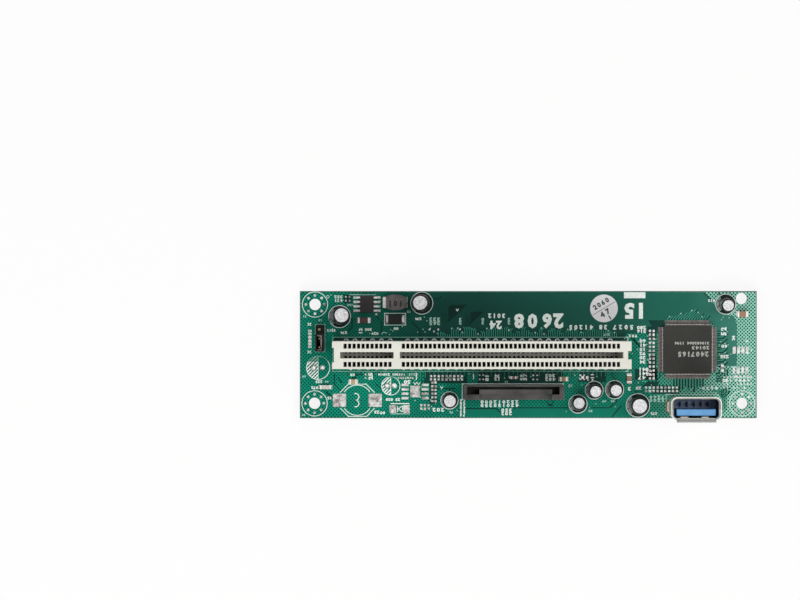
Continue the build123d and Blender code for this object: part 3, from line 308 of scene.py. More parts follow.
def upper_plane_material():
    """Mask over the wide copper plane: fades into the hatch on the left, pales to the right as
    painted sheen, and darkens by the slot as painted shadow.
    """
    shader = Shader("mask_over_copper")
    x, y, z = shader.axes()
    # painted sheen: the plane's colour pales towards the right
    plane = shader.ramp(
        shader.spread(x, -0.012, 0.060, 0.0, 1.0),
        (0.0, (8, 62, 53)),
        (0.80, (26, 100, 84)),
        (1.0, (58, 126, 110)),
    )
    plane = shader.mix(shader.vary(shader.noise(70, 4), 0.0, 0.35), plane, (16, 78, 66))
    # painted shadow of the slot on the plane along its upper side
    slot_shadow = shader.spread(y, 0.0085, 0.0055, 0.0, 0.75)
    slot_shadow = shader.times(slot_shadow, shader.spread(x, 0.036, 0.028, 0.0, 1.0))
    plane = shader.mix(slot_shadow, plane, (0, 50, 43))
    face, grid = hatched_face(shader)
    left = shader.spread(x, -0.0500, -0.0240, 0.35, 1.0)
    return mask_surface(shader, shader.mix(left, face, plane))


def moulding(name, low, high, grain_per_mm, roughness, specular, worn):
    """Moulded plastic or epoxy: fine grain, slight blotches, edges a little paler."""
    shader = Shader(name)
    blotch = shader.noise(160, 5, 0.6)
    grain = shader.noise(grain_per_mm * 1000, 4, 0.65)
    colour = shader.ramp(blotch, (0.32, low), (0.68, high))
    return shader.set(
        colour=shader.mix(shader.edges(0.07), colour, worn),
        roughness=shader.vary(grain, roughness - 0.06, roughness + 0.08),
        specular=specular,
        normal=shader.bump(grain, 0.18, 0.02),
    )


def metal_material(name, low, high, roughness, tarnish=None, metal=1.0):
    """Metal with an uneven polish, and tarnish in patches."""
    shader = Shader(name)
    fine = shader.noise(2400, 4, 0.6)
    colour = shader.tones(shader.noise(420, 5, 0.6), low, high)
    if tarnish is not None:
        patch = shader.spread(shader.noise(820, 5, 0.7), 0.46, 0.62, 0.0, 0.8)
        colour = shader.mix(patch, colour, tarnish)
    return shader.set(
        colour=colour,
        metal=metal,
        roughness=shader.vary(fine, roughness - 0.08, roughness + 0.1),
        normal=shader.bump(fine, 0.12, 0.02),
    )


def two_tone_metal(name, per_metre, share, first, second, metal, roughness):
    """Metal of two shades; share says how much of the second there is at a place."""
    shader = Shader(name)
    cloud = shader.noise(per_metre, 5, 0.6)
    first, second = shader.tones(cloud, *first), shader.tones(cloud, *second)
    return shader.set(
        colour=shader.mix(share(shader, *shader.axes()), first, second),
        metal=metal,
        roughness=shader.vary(cloud, 0.3, roughness),
        normal=shader.bump(cloud, 0.12, 0.02),
    )


def grainy_material(name, noise, low, high, roughness, specular, bump, stops=(0.3, 0.7)):
    """A dull surface whose colour and relief follow one grain."""
    shader = Shader(name)
    grain = shader.noise(*noise)
    return shader.set(
        colour=shader.ramp(grain, (stops[0], low), (stops[1], high)),
        roughness=roughness,
        specular=specular,
        normal=shader.bump(grain, *bump),
    )


def ink(name, low, high):
    """Screen printed ink: matt, with thin spots."""
    return grainy_material(name, (2200, 4, 0.7), low, high, 0.55, 0.3, (0.2, 0.01), (0.35, 0.6))


def sleeve_material(number, centre):
    """Glossy shrunk sleeve with a grey stripe for the negative lead on its left side."""
    shader = Shader(f"capacitor_sleeve_print_{number}")
    x, y, z = shader.axes()
    left = shader.math("SUBTRACT", centre[0] * MM, x)
    across = shader.math("SUBTRACT", y, centre[1] * MM)
    angle = shader.math("ABSOLUTE", shader.math("ARCTAN2", across, left))
    stripe = shader.below(angle, 0.5)
    turns = shader.math("FRACT", shader.times(z, 1000 / 2.2))
    dash = shader.times(between(shader, turns, 0.42, 0.58), shader.below(angle, 0.3))
    side = shader.below(shader.math("ABSOLUTE", shader.normal()[2]), 0.4)
    pale = shader.times(side, shader.math("SUBTRACT", stripe, dash, clamp=True))
    film = shader.noise(700, 4)
    base = shader.tones(film, (11, 12, 15), (24, 25, 29))
    return shader.set(
        colour=shader.mix(pale, base, (118, 121, 126)),
        roughness=shader.vary(film, 0.24, 0.4),
        specular=0.32,
        normal=shader.bump(film, 0.12, 0.05),
    )


def shell_material():
    """Plated sheet: bright outside and on the rim, greyer at the lower lip, darkened by painted
    shade on deep faces that look inwards or up.
    """
    shader = Shader("shell_steel")
    x, y, z = shader.axes()
    nx, ny, nz = shader.normal()
    cloud = shader.noise(300, 4)
    out_x = shader.times(shader.math("SUBTRACT", x, PORT_X * MM), nx)
    out_y = shader.times(shader.math("SUBTRACT", y, PORT_Y * MM), ny)
    inward = shader.below(shader.math("ADD", out_x, out_y), 0.0)
    upward = shader.above(nz, 0.5)
    deep = shader.below(z, 0.0162)
    # painted shade on the deep faces inside the shell
    inner_shade = shader.times(deep, shader.math("MAXIMUM", inward, upward))
    lower = shader.below(y, -0.0181)
    lip = shader.times(lower, shader.vary(cloud, 0.6, 0.95))
    colour = shader.mix(lip, shader.tones(cloud, (216, 213, 202), (238, 235, 226)), (164, 166, 164))
    return shader.set(
        colour=shader.mix(inner_shade, colour, (62, 60, 60)),
        metal=0.65,
        roughness=shader.vary(cloud, 0.3, 0.4),
        normal=shader.bump(cloud, 0.03, 0.02),
    )


def port_insulator_material():
    """One blue moulding: the tongue catches the light; the base, deep in the shell, gets a greyer,
    paler copy of the blue as painted light.
    """
    shader = Shader("port_blue")
    x, y, z = shader.axes()
    grain = shader.noise(1800, 4, 0.65)
    cloud = shader.noise(300, 4)
    bright = shader.tones(cloud, (84, 140, 192), (106, 162, 212))
    # painted light: a paler, greyer copy of the blue for the base deep in the shell
    deep = shader.tones(cloud, (112, 138, 180), (136, 162, 206))
    return shader.set(
        colour=shader.mix(shader.spread(z, 0.0071, 0.0085, 0.0, 1.0), deep, bright),
        roughness=shader.vary(grain, 0.3, 0.44),
        specular=0.4,
        normal=shader.bump(grain, 0.15, 0.02),
    )


def silk_material():
    """White print whose outlines of the slot and the header are fainter."""
    shader = Shader("screen_print_outlines")
    x, y, z = shader.axes()
    thin = shader.noise(2200, 4, 0.7)
    slot_rows = between(shader, y, -0.0066, 0.0062)
    slot_band = shader.times(slot_rows, between(shader, x, -0.0572, 0.028))
    header_rows = between(shader, y, -0.002, 0.0105)
    header_end = shader.below(x, -0.0572)
    header_band = shader.times(header_end, header_rows)
    full = shader.ramp(thin, (0.35, (208, 222, 214)), (0.6, (236, 242, 238)))
    faded = shader.ramp(thin, (0.35, (96, 140, 124)), (0.6, (140, 178, 164)))
    return shader.set(
        colour=shader.mix(shader.math("MAXIMUM", slot_band, header_band), full, faded),
        roughness=0.55,
        specular=0.3,
        normal=shader.bump(thin, 0.2, 0.01),
    )


def can_material():
    """Matt aluminium of the can tops, with a fine orange-peel texture."""
    shader = Shader("can_top_aluminium")
    peel = shader.noise(3200, 5, 0.7)
    cloud = shader.noise(2100, 5, 0.75)
    return shader.set(
        colour=shader.ramp(cloud, (0.34, (166, 167, 170)), (0.62, (242, 242, 242))),
        metal=0.6,
        roughness=shader.vary(peel, 0.36, 0.56),
        normal=shader.bump(peel, 0.35, 0.03),
    )


def ferrite_material():
    """Ground ferrite: grainy, with pale specks."""
    shader = Shader("inductor_ferrite")
    grain = shader.noise(1800, 5, 0.7)
    cloud = shader.noise(500, 4, 0.6)
    speck = shader.spread(shader.noise(5200, 2), 0.6, 0.75, 0.0, 0.5)
    return shader.set(
        colour=shader.mix(speck, shader.tones(cloud, (62, 58, 58), (92, 88, 86)), (136, 132, 126)),
        roughness=0.55,
        specular=0.35,
        normal=shader.bump(grain, 0.4, 0.05),
    )


board_green = board_material()
copper_plane = upper_plane_material()
copper_bright = solder_mask("mask_over_bright_copper", (2, 106, 86), (6, 120, 98))
bare_mask = solder_mask("mask_over_laminate", (2, 38, 32), (4, 48, 40))
trace_green = solder_mask("mask_over_trace", (24, 124, 100), (66, 160, 136))
# painted shade on the board under the slot
slot_shade = solder_mask("painted_shade_below_slot", (6, 12, 10), (12, 18, 14))
# painted shade over the holes in the floor of the slot's card gap
floor_opening_shade = solder_mask("slot_floor_shade", (30, 29, 24), (44, 42, 35))
# bare laminate, and the patches of painted shade
laminate_and_shade_mask = solder_mask("mask_over_laminate_and_painted_shade", (2, 52, 46), (6, 62, 54))
ivory = moulding("slot_ivory", (214, 213, 202), (224, 223, 213), 2.2, 0.5, 0.3, (232, 231, 224))
black_plastic = moulding(
    "connector_black", (48, 48, 48), (84, 82, 81), 2.6, 0.46, 0.2, (122, 122, 120)
)
header_black = moulding("header_black", (24, 22, 21), (38, 35, 34), 2.6, 0.5, 0.14, (60, 56, 54))
chip_epoxy = moulding("chip_epoxy", (46, 46, 43), (54, 54, 50), 3.4, 0.6, 0.25, (84, 82, 78))
small_epoxy = moulding("small_epoxy", (38, 34, 36), (50, 46, 47), 3.4, 0.55, 0.25, (76, 70, 70))
diode_epoxy = moulding("diode_epoxy", (22, 20, 22), (34, 31, 32), 3.4, 0.5, 0.25, (60, 56, 56))
port_blue = port_insulator_material()
gold = metal_material("contact_gold", (112, 90, 54), (140, 116, 74), 0.36, (70, 56, 38))
port_gold = metal_material("port_gold", (120, 98, 70), (140, 116, 84), 0.36)
# painted shade: the port's short contacts are near black
shaded_contact_metal = metal_material("port_contact_painted_shade", (30, 28, 28), (44, 40, 38), 0.4)
# painted shade framing the slot's windows
window_shade_colour = solder_mask("slot_window_painted_shade", (44, 41, 32), (60, 56, 46))
solder = metal_material("tinned_pads", (196, 193, 190), (246, 246, 244), 0.36, (98, 78, 76), 0.4)
pin_metal = metal_material("pin_metal", (150, 134, 100), (182, 168, 134), 0.4)
leg_ring = metal_material("leg_ring_tin", (150, 128, 96), (178, 156, 118), 0.4)
lead_bed = solder_mask("chip_lead_flux", (70, 76, 72), (86, 90, 86))
dark_bed = solder_mask("bare_laminate_dark", (12, 34, 30), (20, 44, 38))
joint_solder = metal_material("solder_joints", (196, 198, 200), (220, 221, 222), 0.24)
tin = metal_material("tinned_leads", (112, 108, 104), (142, 136, 132), 0.36, (84, 76, 74), 0.6)
bright_tin = metal_material("bright_ends", (228, 226, 224), (253, 252, 250), 0.36, metal=0.35)
steel = shell_material()
silk_print = silk_material()
# painted shade: the strips are dark gold at their tips and darker still deep in the housing
slot_gold = two_tone_metal(
    "slot_contact_gold", 420, lambda shader, x, y, z: shader.spread(z, 0.0140, 0.0172, 0.0, 1.0),
    ((34, 30, 22), (52, 46, 34)), ((96, 80, 50), (122, 104, 68)), 0.9, 0.46,
)
# the coil's left end is bright, its right end darkened as painted shade
coil_ends = two_tone_metal(
    "inductor_ends", 900, lambda shader, x, y, z: shader.above(x, COIL_X * MM),
    ((224, 222, 220), (253, 252, 250)), ((84, 84, 82), (124, 122, 118)), 0.45, 0.45,
)
# a painted highlight brightens the leads' shoulders; their feet keep a darker tin
lead_tin = two_tone_metal(
    "chip_leads_tin", 900, lambda shader, x, y, z: shader.spread(z, 0.00355, 0.0037, 0.0, 1.0),
    ((96, 88, 84), (136, 130, 126)), ((176, 168, 166), (214, 208, 206)), 0.6, 0.46,
)
copper_wire = metal_material("winding_copper", (170, 92, 52), (196, 116, 70), 0.3)
aluminium = can_material()
white_print = ink("screen_print_white", (208, 222, 214), (236, 242, 238))
dim_print = ink("screen_print_thin", (128, 176, 160), (176, 208, 196))
black_print = ink("sticker_print_black", (40, 42, 48), (66, 68, 74))
chip_print = ink("chip_print_grey", (150, 150, 144), (190, 190, 182))
grey_print = ink("negative_half_print", (110, 124, 120), (150, 162, 156))
ferrite_print = ink("ferrite_print_dark", (26, 24, 24), (38, 35, 34))
sticker_white = grainy_material(
    "sticker_paper_white", (2600, 5, 0.7), (214, 214, 216), (229, 228, 230), 0.5, 0.35, (0.15, 0.02)
)
ferrite = ferrite_material()
rubber = grainy_material(
    "bung_rubber", (1400, 4), (28, 27, 26), (42, 41, 40), 0.75, 0.5, (0.3, 0.05)
)


# mesh helpers


def spot(pixel_x, pixel_y, height=0.0):
    """The point, in mm, that the photograph shows at a pixel, at a height above the board."""
    scale = (CAMERA_Z - BOARD_TOP - height) / FOCAL_PIXELS
    return (pixel_x - MIDDLE_X) * scale + CAMERA_X, (MIDDLE_Y - pixel_y) * scale + CAMERA_Y


def spots(*pixels):
    return [spot(x, y) for x, y in pixels]


def piece(name, mesh, material):
    """A mesh given in mm becomes an object in metres that rides on the board."""
    mesh.transform(Matrix.Scale(MM, 4))
    made = bpy.data.objects.new(name, mesh)
    scene.collection.objects.link(made)
    mesh.materials.clear()
    mesh.materials.append(material)
    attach(made, "root")
    return made


class Plates:
    """Thin flat shapes of one height in one mesh, on the board's top unless low is given."""

    def __init__(self, name, material, thickness, low=BOARD_TOP, slot="green_board"):
        self.finish = (name, material, slot)
        self.low = low
        self.high = low + thickness
        self.bm = bmesh.new()

    def polygon(self, points):
        """A plate with the given outline, drawn anticlockwise or clockwise."""
        area = sum(a[0] * b[1] - b[0] * a[1] for a, b in zip(points, points[1:] + points[:1]))
        ring = list(points) if area > 0 else list(reversed(points))
        top = [self.bm.verts.new((x, y, self.high)) for x, y in ring]
        foot = [self.bm.verts.new((x, y, self.low)) for x, y in ring]
        self.bm.faces.new(top)
        for i in range(len(ring)):
            j = (i + 1) % len(ring)
            self.bm.faces.new((foot[i], foot[j], top[j], top[i]))

    def rectangle(self, x, y, length, width):
        a, b = length / 2, width / 2
        self.polygon([(x - a, y - b), (x + a, y - b), (x + a, y + b), (x - a, y + b)])

    def line(self, points, width):
        """A strip along a polyline, with mitred corners."""
        left, right = [], []
        for i, (x, y) in enumerate(points):
            before = Vector(points[max(i - 1, 0)])
            after = Vector(points[min(i + 1, len(points) - 1)])
            here = Vector((x, y))
            into = (here - before).normalized() if i > 0 else (after - here).normalized()
            out = (after - here).normalized() if i < len(points) - 1 else into
            normal = Vector((-(into + out).y, (into + out).x))
            normal = normal.normalized() if normal.length > 1e-6 else Vector((-into.y, into.x))
            reach = width / 2 / max(0.5, normal.dot(Vector((-into.y, into.x))))
            left.append((x + normal.x * reach, y + normal.y * reach))
            right.append((x - normal.x * reach, y - normal.y * reach))
        for i in range(len(points) - 1):
            self.polygon([right[i], right[i + 1], left[i + 1], left[i]])

    def arc(self, x, y, radius, start, end, width):
        steps = max(4, int(abs(end - start) / 9))
        angles = [math.radians(start + (end - start) * i / steps) for i in range(steps + 1)]
        self.line([(x + radius * math.cos(a), y + radius * math.sin(a)) for a in angles], width)

    def disc(self, x, y, radius, sides):
        angles = [2 * math.pi * i / sides for i in range(sides)]
        self.polygon([(x + radius * math.cos(a), y + radius * math.sin(a)) for a in angles])

    def done(self):
        name, material, slot = self.finish
        mesh = bpy.data.meshes.new(name)
        self.bm.to_mesh(mesh)
        self.bm.free()
        piece(name, mesh, material)


def digit_outline(character):
    """The flat mesh of one digit, one unit high."""
    curve = bpy.data.curves.new("digit", "FONT")
    curve.body = character
    curve.size = 1.0
    curve.resolution_u = 2
    curve.offset = 0.05
    curve.align_x = "CENTER"
    curve.align_y = "CENTER"
    holder = bpy.data.objects.new("digit", curve)
    scene.collection.objects.link(holder)
    graph = bpy.context.evaluated_depsgraph_get()
    mesh = bpy.data.meshes.new_from_object(holder.evaluated_get(graph))
    bpy.data.objects.remove(holder)
    low = min(v.co.y for v in mesh.vertices)
    high = max(v.co.y for v in mesh.vertices)
    middle = sum(v.co.x for v in mesh.vertices) / len(mesh.vertices)
    tall = high - low
    points = [
        ((v.co.x - middle) / tall, (v.co.y - (low + high) / 2) / tall) for v in mesh.vertices
    ]
    faces = [tuple(p.vertices) for p in mesh.polygons]
    bpy.data.meshes.remove(mesh)
    return points, faces


DIGITS = {character: digit_outline(character) for character in "0123456789"}


class Digits:
    """Plain numbers, all in one mesh. A turn of 180 stands them on their heads."""

    def __init__(self, height):
        self.height = height
        self.points = []
        self.faces = []

    def write(self, text, x, y, size, turn=180.0, pitch=None):
        """Small numbers are drawn larger and wider than their size, so that they stay legible."""
        wide = 1.0
        if size < 1.2:
            size, wide = size * 1.12, 1.3
        step = pitch or size * 0.86
        c, s = math.cos(math.radians(turn)), math.sin(math.radians(turn))
        for place, character in enumerate(text):
            if character == " ":
                continue
            offset = (place - (len(text) - 1) / 2) * step
            points, faces = DIGITS[character]
            first = len(self.points)
            for u, v in points:
                a, b = offset + u * size * wide, v * size
                self.points.append((x + a * c - b * s, y + a * s + b * c, self.height))
            self.faces += [tuple(first + i for i in face) for face in faces]

    def done(self, name, material, slot):
        mesh = bpy.data.meshes.new(name)
        mesh.from_pydata(self.points, [], self.faces)
        piece(name, mesh, material)


# finishes of the CAD nodes


def dress(name, material):
    """A node of the part gets its material."""
    nodes[name].data.materials.clear()
    nodes[name].data.materials.append(material)


FINISHES = (
    (board_green, "circuit_board"), (ivory, "pci_slot_housing"),
    (slot_gold, "slot_contacts_upper slot_contacts_lower"),
    (joint_solder, "slot_solder_joints lead_solder_joints"), (solder, "solder_pads"),
    (chip_epoxy, "bridge_chip_body"), (small_epoxy, "regulator_body"),
    (diode_epoxy, "diode_body"), (lead_tin, "bridge_chip_leads"), (tin, "capacitor_leads"),
    (bright_tin, "regulator_leads diode_terminals jumper_clip chip_ends"),
    (coil_ends, "power_inductor_terminals"), (ferrite, "power_inductor_core"),
    (copper_wire, "power_inductor_winding"), (steel, "usb_shell"), (port_blue, "usb_insulator"),
    (port_gold, "usb_long_contacts"), (shaded_contact_metal, "usb_short_contacts"),
    (gold, "sata_power_contacts"), (black_plastic, "sata_power_housing"),
    (pin_metal, "header_pins"), (header_black, "header_base jumper_cap"),
    (rubber, "capacitor_bungs"), (silk_print, "silkscreen"),
    (sticker_white, "inspection_sticker"),
)
for material, names in FINISHES:
    for name in names.split():
        dress(name, material)

# middle, diameter of the can, radius of the printed ring
capacitors = [
    (-54.50, 10.98, 5.0, 3.2), (-30.75, 14.88, 5.0, 3.2), (-22.75, -13.21, 4.2, 2.5),
    (14.33, -14.24, 4.0, 2.65), (19.01, -10.26, 4.0, 2.6), (24.89, -10.12, 4.0, 2.65),
    (31.65, -14.65, 5.0, 3.4), (56.99, 14.56, 4.0, 2.9),
]
for number, (x, y, diameter, ring) in enumerate(capacitors, start=1):
    dress(f"capacitor_can_{number}", aluminium)
    dress(f"capacitor_sleeve_{number}", sleeve_material(number, (x, y)))

# copper under the mask
# the tables whose values go through spot or spots hold pixels of the photograph

SLOT_UPPER_LINE = 5.03
SLOT_LOWER_LINE = -4.83

UPPER_PLANE = (
    (352, 292.2), (703, 292.2), (712, 301), (712, 322), (706, 327), (700, 333), (628, 333),
    (624, 337.3), (334, 337.3), (334, 322),
)
planes = Plates("copper_upper_plane", copper_plane, 0.006)
planes.polygon(spots(*UPPER_PLANE))
planes.done()

RIGHT_PLANE = (
    (700, 303), (712, 301), (722, 314), (734, 316), (737, 324), (737, 366), (716, 366),
    (716, 327), (704, 318),
)
right_plane = Plates("copper_right_plane", copper_plane, 0.008)
right_plane.polygon(spots(*RIGHT_PLANE))
right_plane.done()

# dark patches of painted shade
dim = Plates("mask_in_shade", laminate_and_shade_mask, 0.0085)
SHADED_PATCHES = (
    (334, 337.8, 626, 341.5), (424, 371.8, 467, 383.5), (429.5, 383, 437.5, 404),
    (478, 371.8, 562, 383.6), (578, 371.8, 606, 382), (635, 369, 657.5, 380),
    (652, 385.5, 679, 394), (647.5, 326.5, 656.6, 380), (344, 294.8, 351.5, 302.8),
)
for left, top, right, foot in SHADED_PATCHES:
    (x0, y0), (x1, y1) = spots((left, top), (right, foot))
    dim.rectangle((x0 + x1) / 2, (y0 + y1) / 2, x1 - x0, y0 - y1)
dim.done()

LOWER_STRIP = (
    (466, 409.3), (496, 409.3), (501, 413.8), (513, 413.8), (517, 408.6), (610.5, 408.6),
    (617, 402.3), (640, 402.3), (640, 405), (629, 416.6), (466, 416.6),
)
strip_plane = Plates("copper_lower_strip", copper_bright, 0.006)
strip_plane.polygon(spots(*LOWER_STRIP))
strip_plane.done()

wide_gaps = Plates("bare_laminate_areas", laminate_and_shade_mask, 0.010)
WIDE_GAPS = (
    ((648, 320.2), (664, 320.2), (664, 325.5), (658, 331), (655, 331)),
    ((642, 386.2), (648, 381.5), (660, 381.5), (657, 386.2)),
)
for corners in WIDE_GAPS:
    wide_gaps.polygon(spots(*corners))
wide_gaps.done()

gaps = Plates("bare_laminate_gaps", bare_mask, 0.011)
GAP_AREAS = (
    ((448.3, 306.8), (451, 305), (467, 304.5), (449, 322), (448.3, 322)),
    ((470.5, 312), (484, 311.5), (472, 323), (470.5, 323)),
)
for corners in GAP_AREAS:
    gaps.polygon(spots(*corners))
GAP_ROUTES = (
    [(466, 408.6), (496.5, 408.6), (501.5, 413.2), (512, 413.2)],
    [(512, 407.8), (610, 407.8), (616.5, 401.6), (616.5, 395)], [(621.5, 405.5), (612, 416.8)],
    [(334.5, 374.5), (334.5, 384.5), (341, 391)], [(337.5, 377), (342, 383)],
    [(365.5, 374.5), (357, 374.5), (353, 378.5)], [(376, 384), (384, 391.5)],
    [(338.5, 402.5), (346.5, 402.5)], [(338.5, 404.3), (346.5, 404.3)],
    [(326, 391.5), (332.5, 398)], [(546, 400.8), (549, 404.5), (552, 404.5), (554, 400.8)],
    [(548, 405.6), (553, 405.6)], [(592, 371.5), (592, 381), (596, 385)],
    [(604, 371.5), (604, 380), (600, 384)], [(612, 371.5), (612, 376), (622, 386)],
    [(629, 405), (636, 398), (636, 391)], [(422, 380), (422, 392), (430, 392)],
    [(432, 388.5), (456, 388.5)], [(352, 318), (352, 327.5), (346, 333.5)],
    [(376, 316), (381.5, 321.5), (381.5, 333)], [(411, 305.5), (417, 299.5), (417, 293)],
    [(421, 299), (439, 299), (441.5, 296.5)], [(412, 322), (420, 330), (420, 335)],
    [(660, 371.5), (660, 377), (656, 381)], [(718, 292.5), (724, 298.5)],
    [(703.5, 292.5), (713, 301.5)],
)
for route in GAP_ROUTES:
    gaps.line(spots(*route), 0.3)
GAP_VERTICALS = (
    (442.6, 313, 325), (444.6, 313.5, 325), (446.6, 314, 325.5),
    (465.6, 313.5, 329), (467.4, 313, 330), (469.2, 316, 331), (471.0, 322, 331),
)
for vertical, top, foot in GAP_VERTICALS:
    gaps.line(spots((vertical, top), (vertical, foot)), 0.2)
gaps.done()

# traces

traces = Plates("traces", trace_green, 0.014)
shade = Plates("trace_gaps", bare_mask, 0.0125)
vias = Plates("via_rings", dim_print, 0.018)


def track(points, width, right, up, gap_width):
    """A trace, and beside it a gap moved to the right and up."""
    traces.line(points, width)
    shade.line([(x + right, y + up) for x, y in points], gap_width)


# the slot's upper row fans out into short runs that bend and end in small holes
row_x = [-52.6 + 1.27 * i for i in range(62)]
for x in row_x:
    if x < -27:
        continue
    reach = SLOT_UPPER_LINE + 0.15 + random.choice((0.7, 1.1, 1.5, 1.9, 2.3))
    lean = random.choice((-0.5, 0.0, 0.0, 0.5))
    for start in (x, x + 0.62):
        run = [(start, SLOT_UPPER_LINE + 0.12), (start, reach)]
        shade.line([(a + 0.24, b) for a, b in run], 0.22)
        if lean:
            run.append((start + lean, reach + abs(lean)))
        traces.line(run, 0.19)
    if random.random() < 0.35:
        vias.disc(x + lean, reach + abs(lean) + 0.1, 0.22, 8)
# below the slot, short runs down to the small pads
for x in row_x:
    if -40 < x < -36 or x > 22.5:
        continue
    foot = SLOT_LOWER_LINE - 0.12 - random.choice((0.5, 0.9, 1.3, 1.7))
    track([(x, SLOT_LOWER_LINE - 0.1), (x, foot)], 0.15, 0.22, 0, 0.26)
    if -20 < x < 22 and random.random() < 0.5:
        vias.disc(x, foot - 0.12, 0.2, 8)

# runs between the slot's right half and the chip's left side, in parallel with two bends
for i in range(9):
    x, y = 29.2 + 0.45 * i, 3.9 - 0.5 * i
    track([(x, y + 1.9), (x + 1.9, y), (37.2, y)], 0.18, 0, -0.25, 0.24)

# short slanted runs above the chip
for i in range(15):
    x = 40.2 + i * 0.78
    base = 9.95
    rise = 0.6 + 0.2 * (i % 4) + max(0, 5 - abs(i - 7)) * 0.34
    run = [(x, base), (x, base + 0.35), (x + rise, base + 0.35 + rise)]
    track(run, 0.26, 0.36, -0.05, 0.36)
    if i % 3 == 0:
        vias.disc(x + rise, base + 0.4 + rise, 0.2, 8)
# runs from the chip's lower leads to the port
for i in range(22):
    x = 41.6 + i * 0.42
    end = -10.8 + 0.7 * (i % 5) * 0.6
    run = [(x, -7.0), (x, end + 0.6), (x + 0.3 * (i % 3 - 1), end)]
    if i % 2:
        shade.line(run, 0.42)
    else:
        traces.line(run, 0.3)
for centre_x, corner_y, count in ((54.2, -4.6, 4), (55.4, -9.9, 3)):
    for i in range(count):
        r = 0.6 + 0.72 * i
        run = [(centre_x - 0.3, corner_y - r), (centre_x + r * 0.55, corner_y - r),
               (centre_x + r * 1.1, corner_y - r * 0.45), (centre_x + r * 1.1, corner_y + 0.6)]
        track(run, 0.26, 0.3, -0.3, 0.34)
# a pair that runs round the port to the right edge
for i in range(3):
    d = i * 0.5
    run = spots((712 + d, 391.5 - i), (717 + i * 1.7, 391.5 - i), (722 + i * 1.7, 396.5 - i),
                (722 + i * 1.7, 408 + i), (717.5 + i * 1.2, 413.5 + i))
    track(run, 0.17, 0.24, 0.06, 0.15)
# runs right of the chip
for i in range(8):
    y = 6.4 - i * 1.35
    traces.line([(54.5, y), (55.9, y), (56.6, y + 0.7)], 0.2)
    shade.line([(54.5, y - 0.35), (56.2, y - 0.35), (57.6, y + 0.9)], 0.3)
    shade.line([(54.5, y + 0.4), (55.4, y + 0.4)], 0.24)
    if i % 2:
        vias.disc(56.8, y + 0.9, 0.2, 8)
# small holes scattered over the board, clear of the parts
for i in range(44):
    x, y = random.uniform(-62, -26), random.uniform(5.8, 17.4)
    if min(math.hypot(x + 54.5, y - 11), math.hypot(x + 30.75, y - 14.9)) < 3.6:
        continue
    if math.hypot(x + 61.6, y - 14.5) < 4.1 or (-52 < x < -34.4 and y > 8.6):
        continue
    vias.disc(x, y, 0.17, 8)
# in mm
VIA_FIELDS = (
    (-34, -20, -17.4, -6, 26), (10.5, 38, -17.4, -6, 22),
    (55, 64, -11, 11, 34), (27, 37.5, -9, 6, 26),
)
for low_x, high_x, low_y, high_y, count in VIA_FIELDS:
    for i in range(count):
        x, y = random.uniform(low_x, high_x), random.uniform(low_y, high_y)
        near = min(math.hypot(x - cx, y - cy) for cx, cy, *rest in capacitors)
        if near > 3.5 and math.hypot(x + 39.7, y + 9) > 3.2:
            vias.disc(x, y, 0.17, 8)
shade.done()
traces.done()
vias.done()

# bare laminate round the capacitors

beds = Plates("dark_beds", dark_bed, 0.020)
crescents = Plates("negative_prints", grey_print, 0.026)
for x, y, diameter, ring in capacitors:
    beds.disc(x, y, ring - 0.09, 36)
    inner = diameter / 2 + 0.02
    outer = ring - 0.22
    for start, end in ((128, 156), (160, 196), (200, 232)):
        crescents.arc(x, y, (inner + outer) / 2, start, end, max(0.2, outer - inner))
beds.done()
crescents.done()

# tinned details

pads = Plates("tinned_details", solder, 0.052, slot="solder")
PLAIN_PADS = (
    (345.9, 296.9), (349.6, 296.9), (345.9, 300.7), (349.6, 300.7), (429.6, 329.5), (434, 331.5),
    (438.3, 329.5), (460, 329.2), (509, 330), (365.5, 374.4), (365.5, 378), (592.5, 379.8),
    (588, 379.8), (650.3, 330.6), (653.7, 330.6), (650.3, 334.2), (653.7, 334.2), (647.5, 371.2),
    (651, 371.2), (647.5, 375), (651, 375),
)
for x, y in PLAIN_PADS:
    pads.rectangle(*spot(x, y), 0.45, 0.5)
pads.disc(*spot(376.2, 314.2), 0.34, 14)
PAD_ROWS = (
    (374.6, 397.3, 4, 2.3), (377.9, 398.6, 7, 2.35),
)
for row_y, first, count, pitch in PAD_ROWS:
    for i in range(count):
        pads.rectangle(*spot(first + i * pitch, row_y), 0.42, 0.6)
PAD_COLUMNS = (
    (479.8, 375.2, 2), (483.2, 375.2, 2), (533.3, 375.4, 2), (537.2, 375.4, 2),
    (580.4, 375.2, 2), (584.2, 375.2, 2),
)
for column_x, first, count in PAD_COLUMNS:
    for i in range(count):
        pads.rectangle(*spot(column_x, first + i * 4.1), 0.5, 0.42)
for i in range(9):
    for j in range(4):
        if random.random() < 0.7:
            pads.rectangle(*spot(724 + i * 3.4, 377 + j * 3.5), 0.4, random.choice((0.42, 0.6)))
pads.done()

LEADS, LEAD_PITCH, PAD_MIDDLE, PAD_LENGTH, PAD_WIDTH = 32, 0.4, 7.72, 1.5, 0.25
chip_pads = Plates("chip_pads", tin, 0.052, slot="solder")
flux = Plates("chip_lead_bed", lead_bed, 0.016)
for middle in (-PAD_MIDDLE, PAD_MIDDLE):
    for i in range(LEADS):
        along = (i - (LEADS - 1) / 2) * LEAD_PITCH
        chip_pads.rectangle(CHIP_X + along, CHIP_Y + middle, PAD_WIDTH, PAD_LENGTH)
        chip_pads.rectangle(CHIP_X + middle, CHIP_Y + along, PAD_LENGTH, PAD_WIDTH)
    flux.rectangle(CHIP_X, CHIP_Y + middle, 12.9, PAD_LENGTH)
    flux.rectangle(CHIP_X + middle, CHIP_Y, PAD_LENGTH, 12.9)
chip_pads.done()
flux.done()

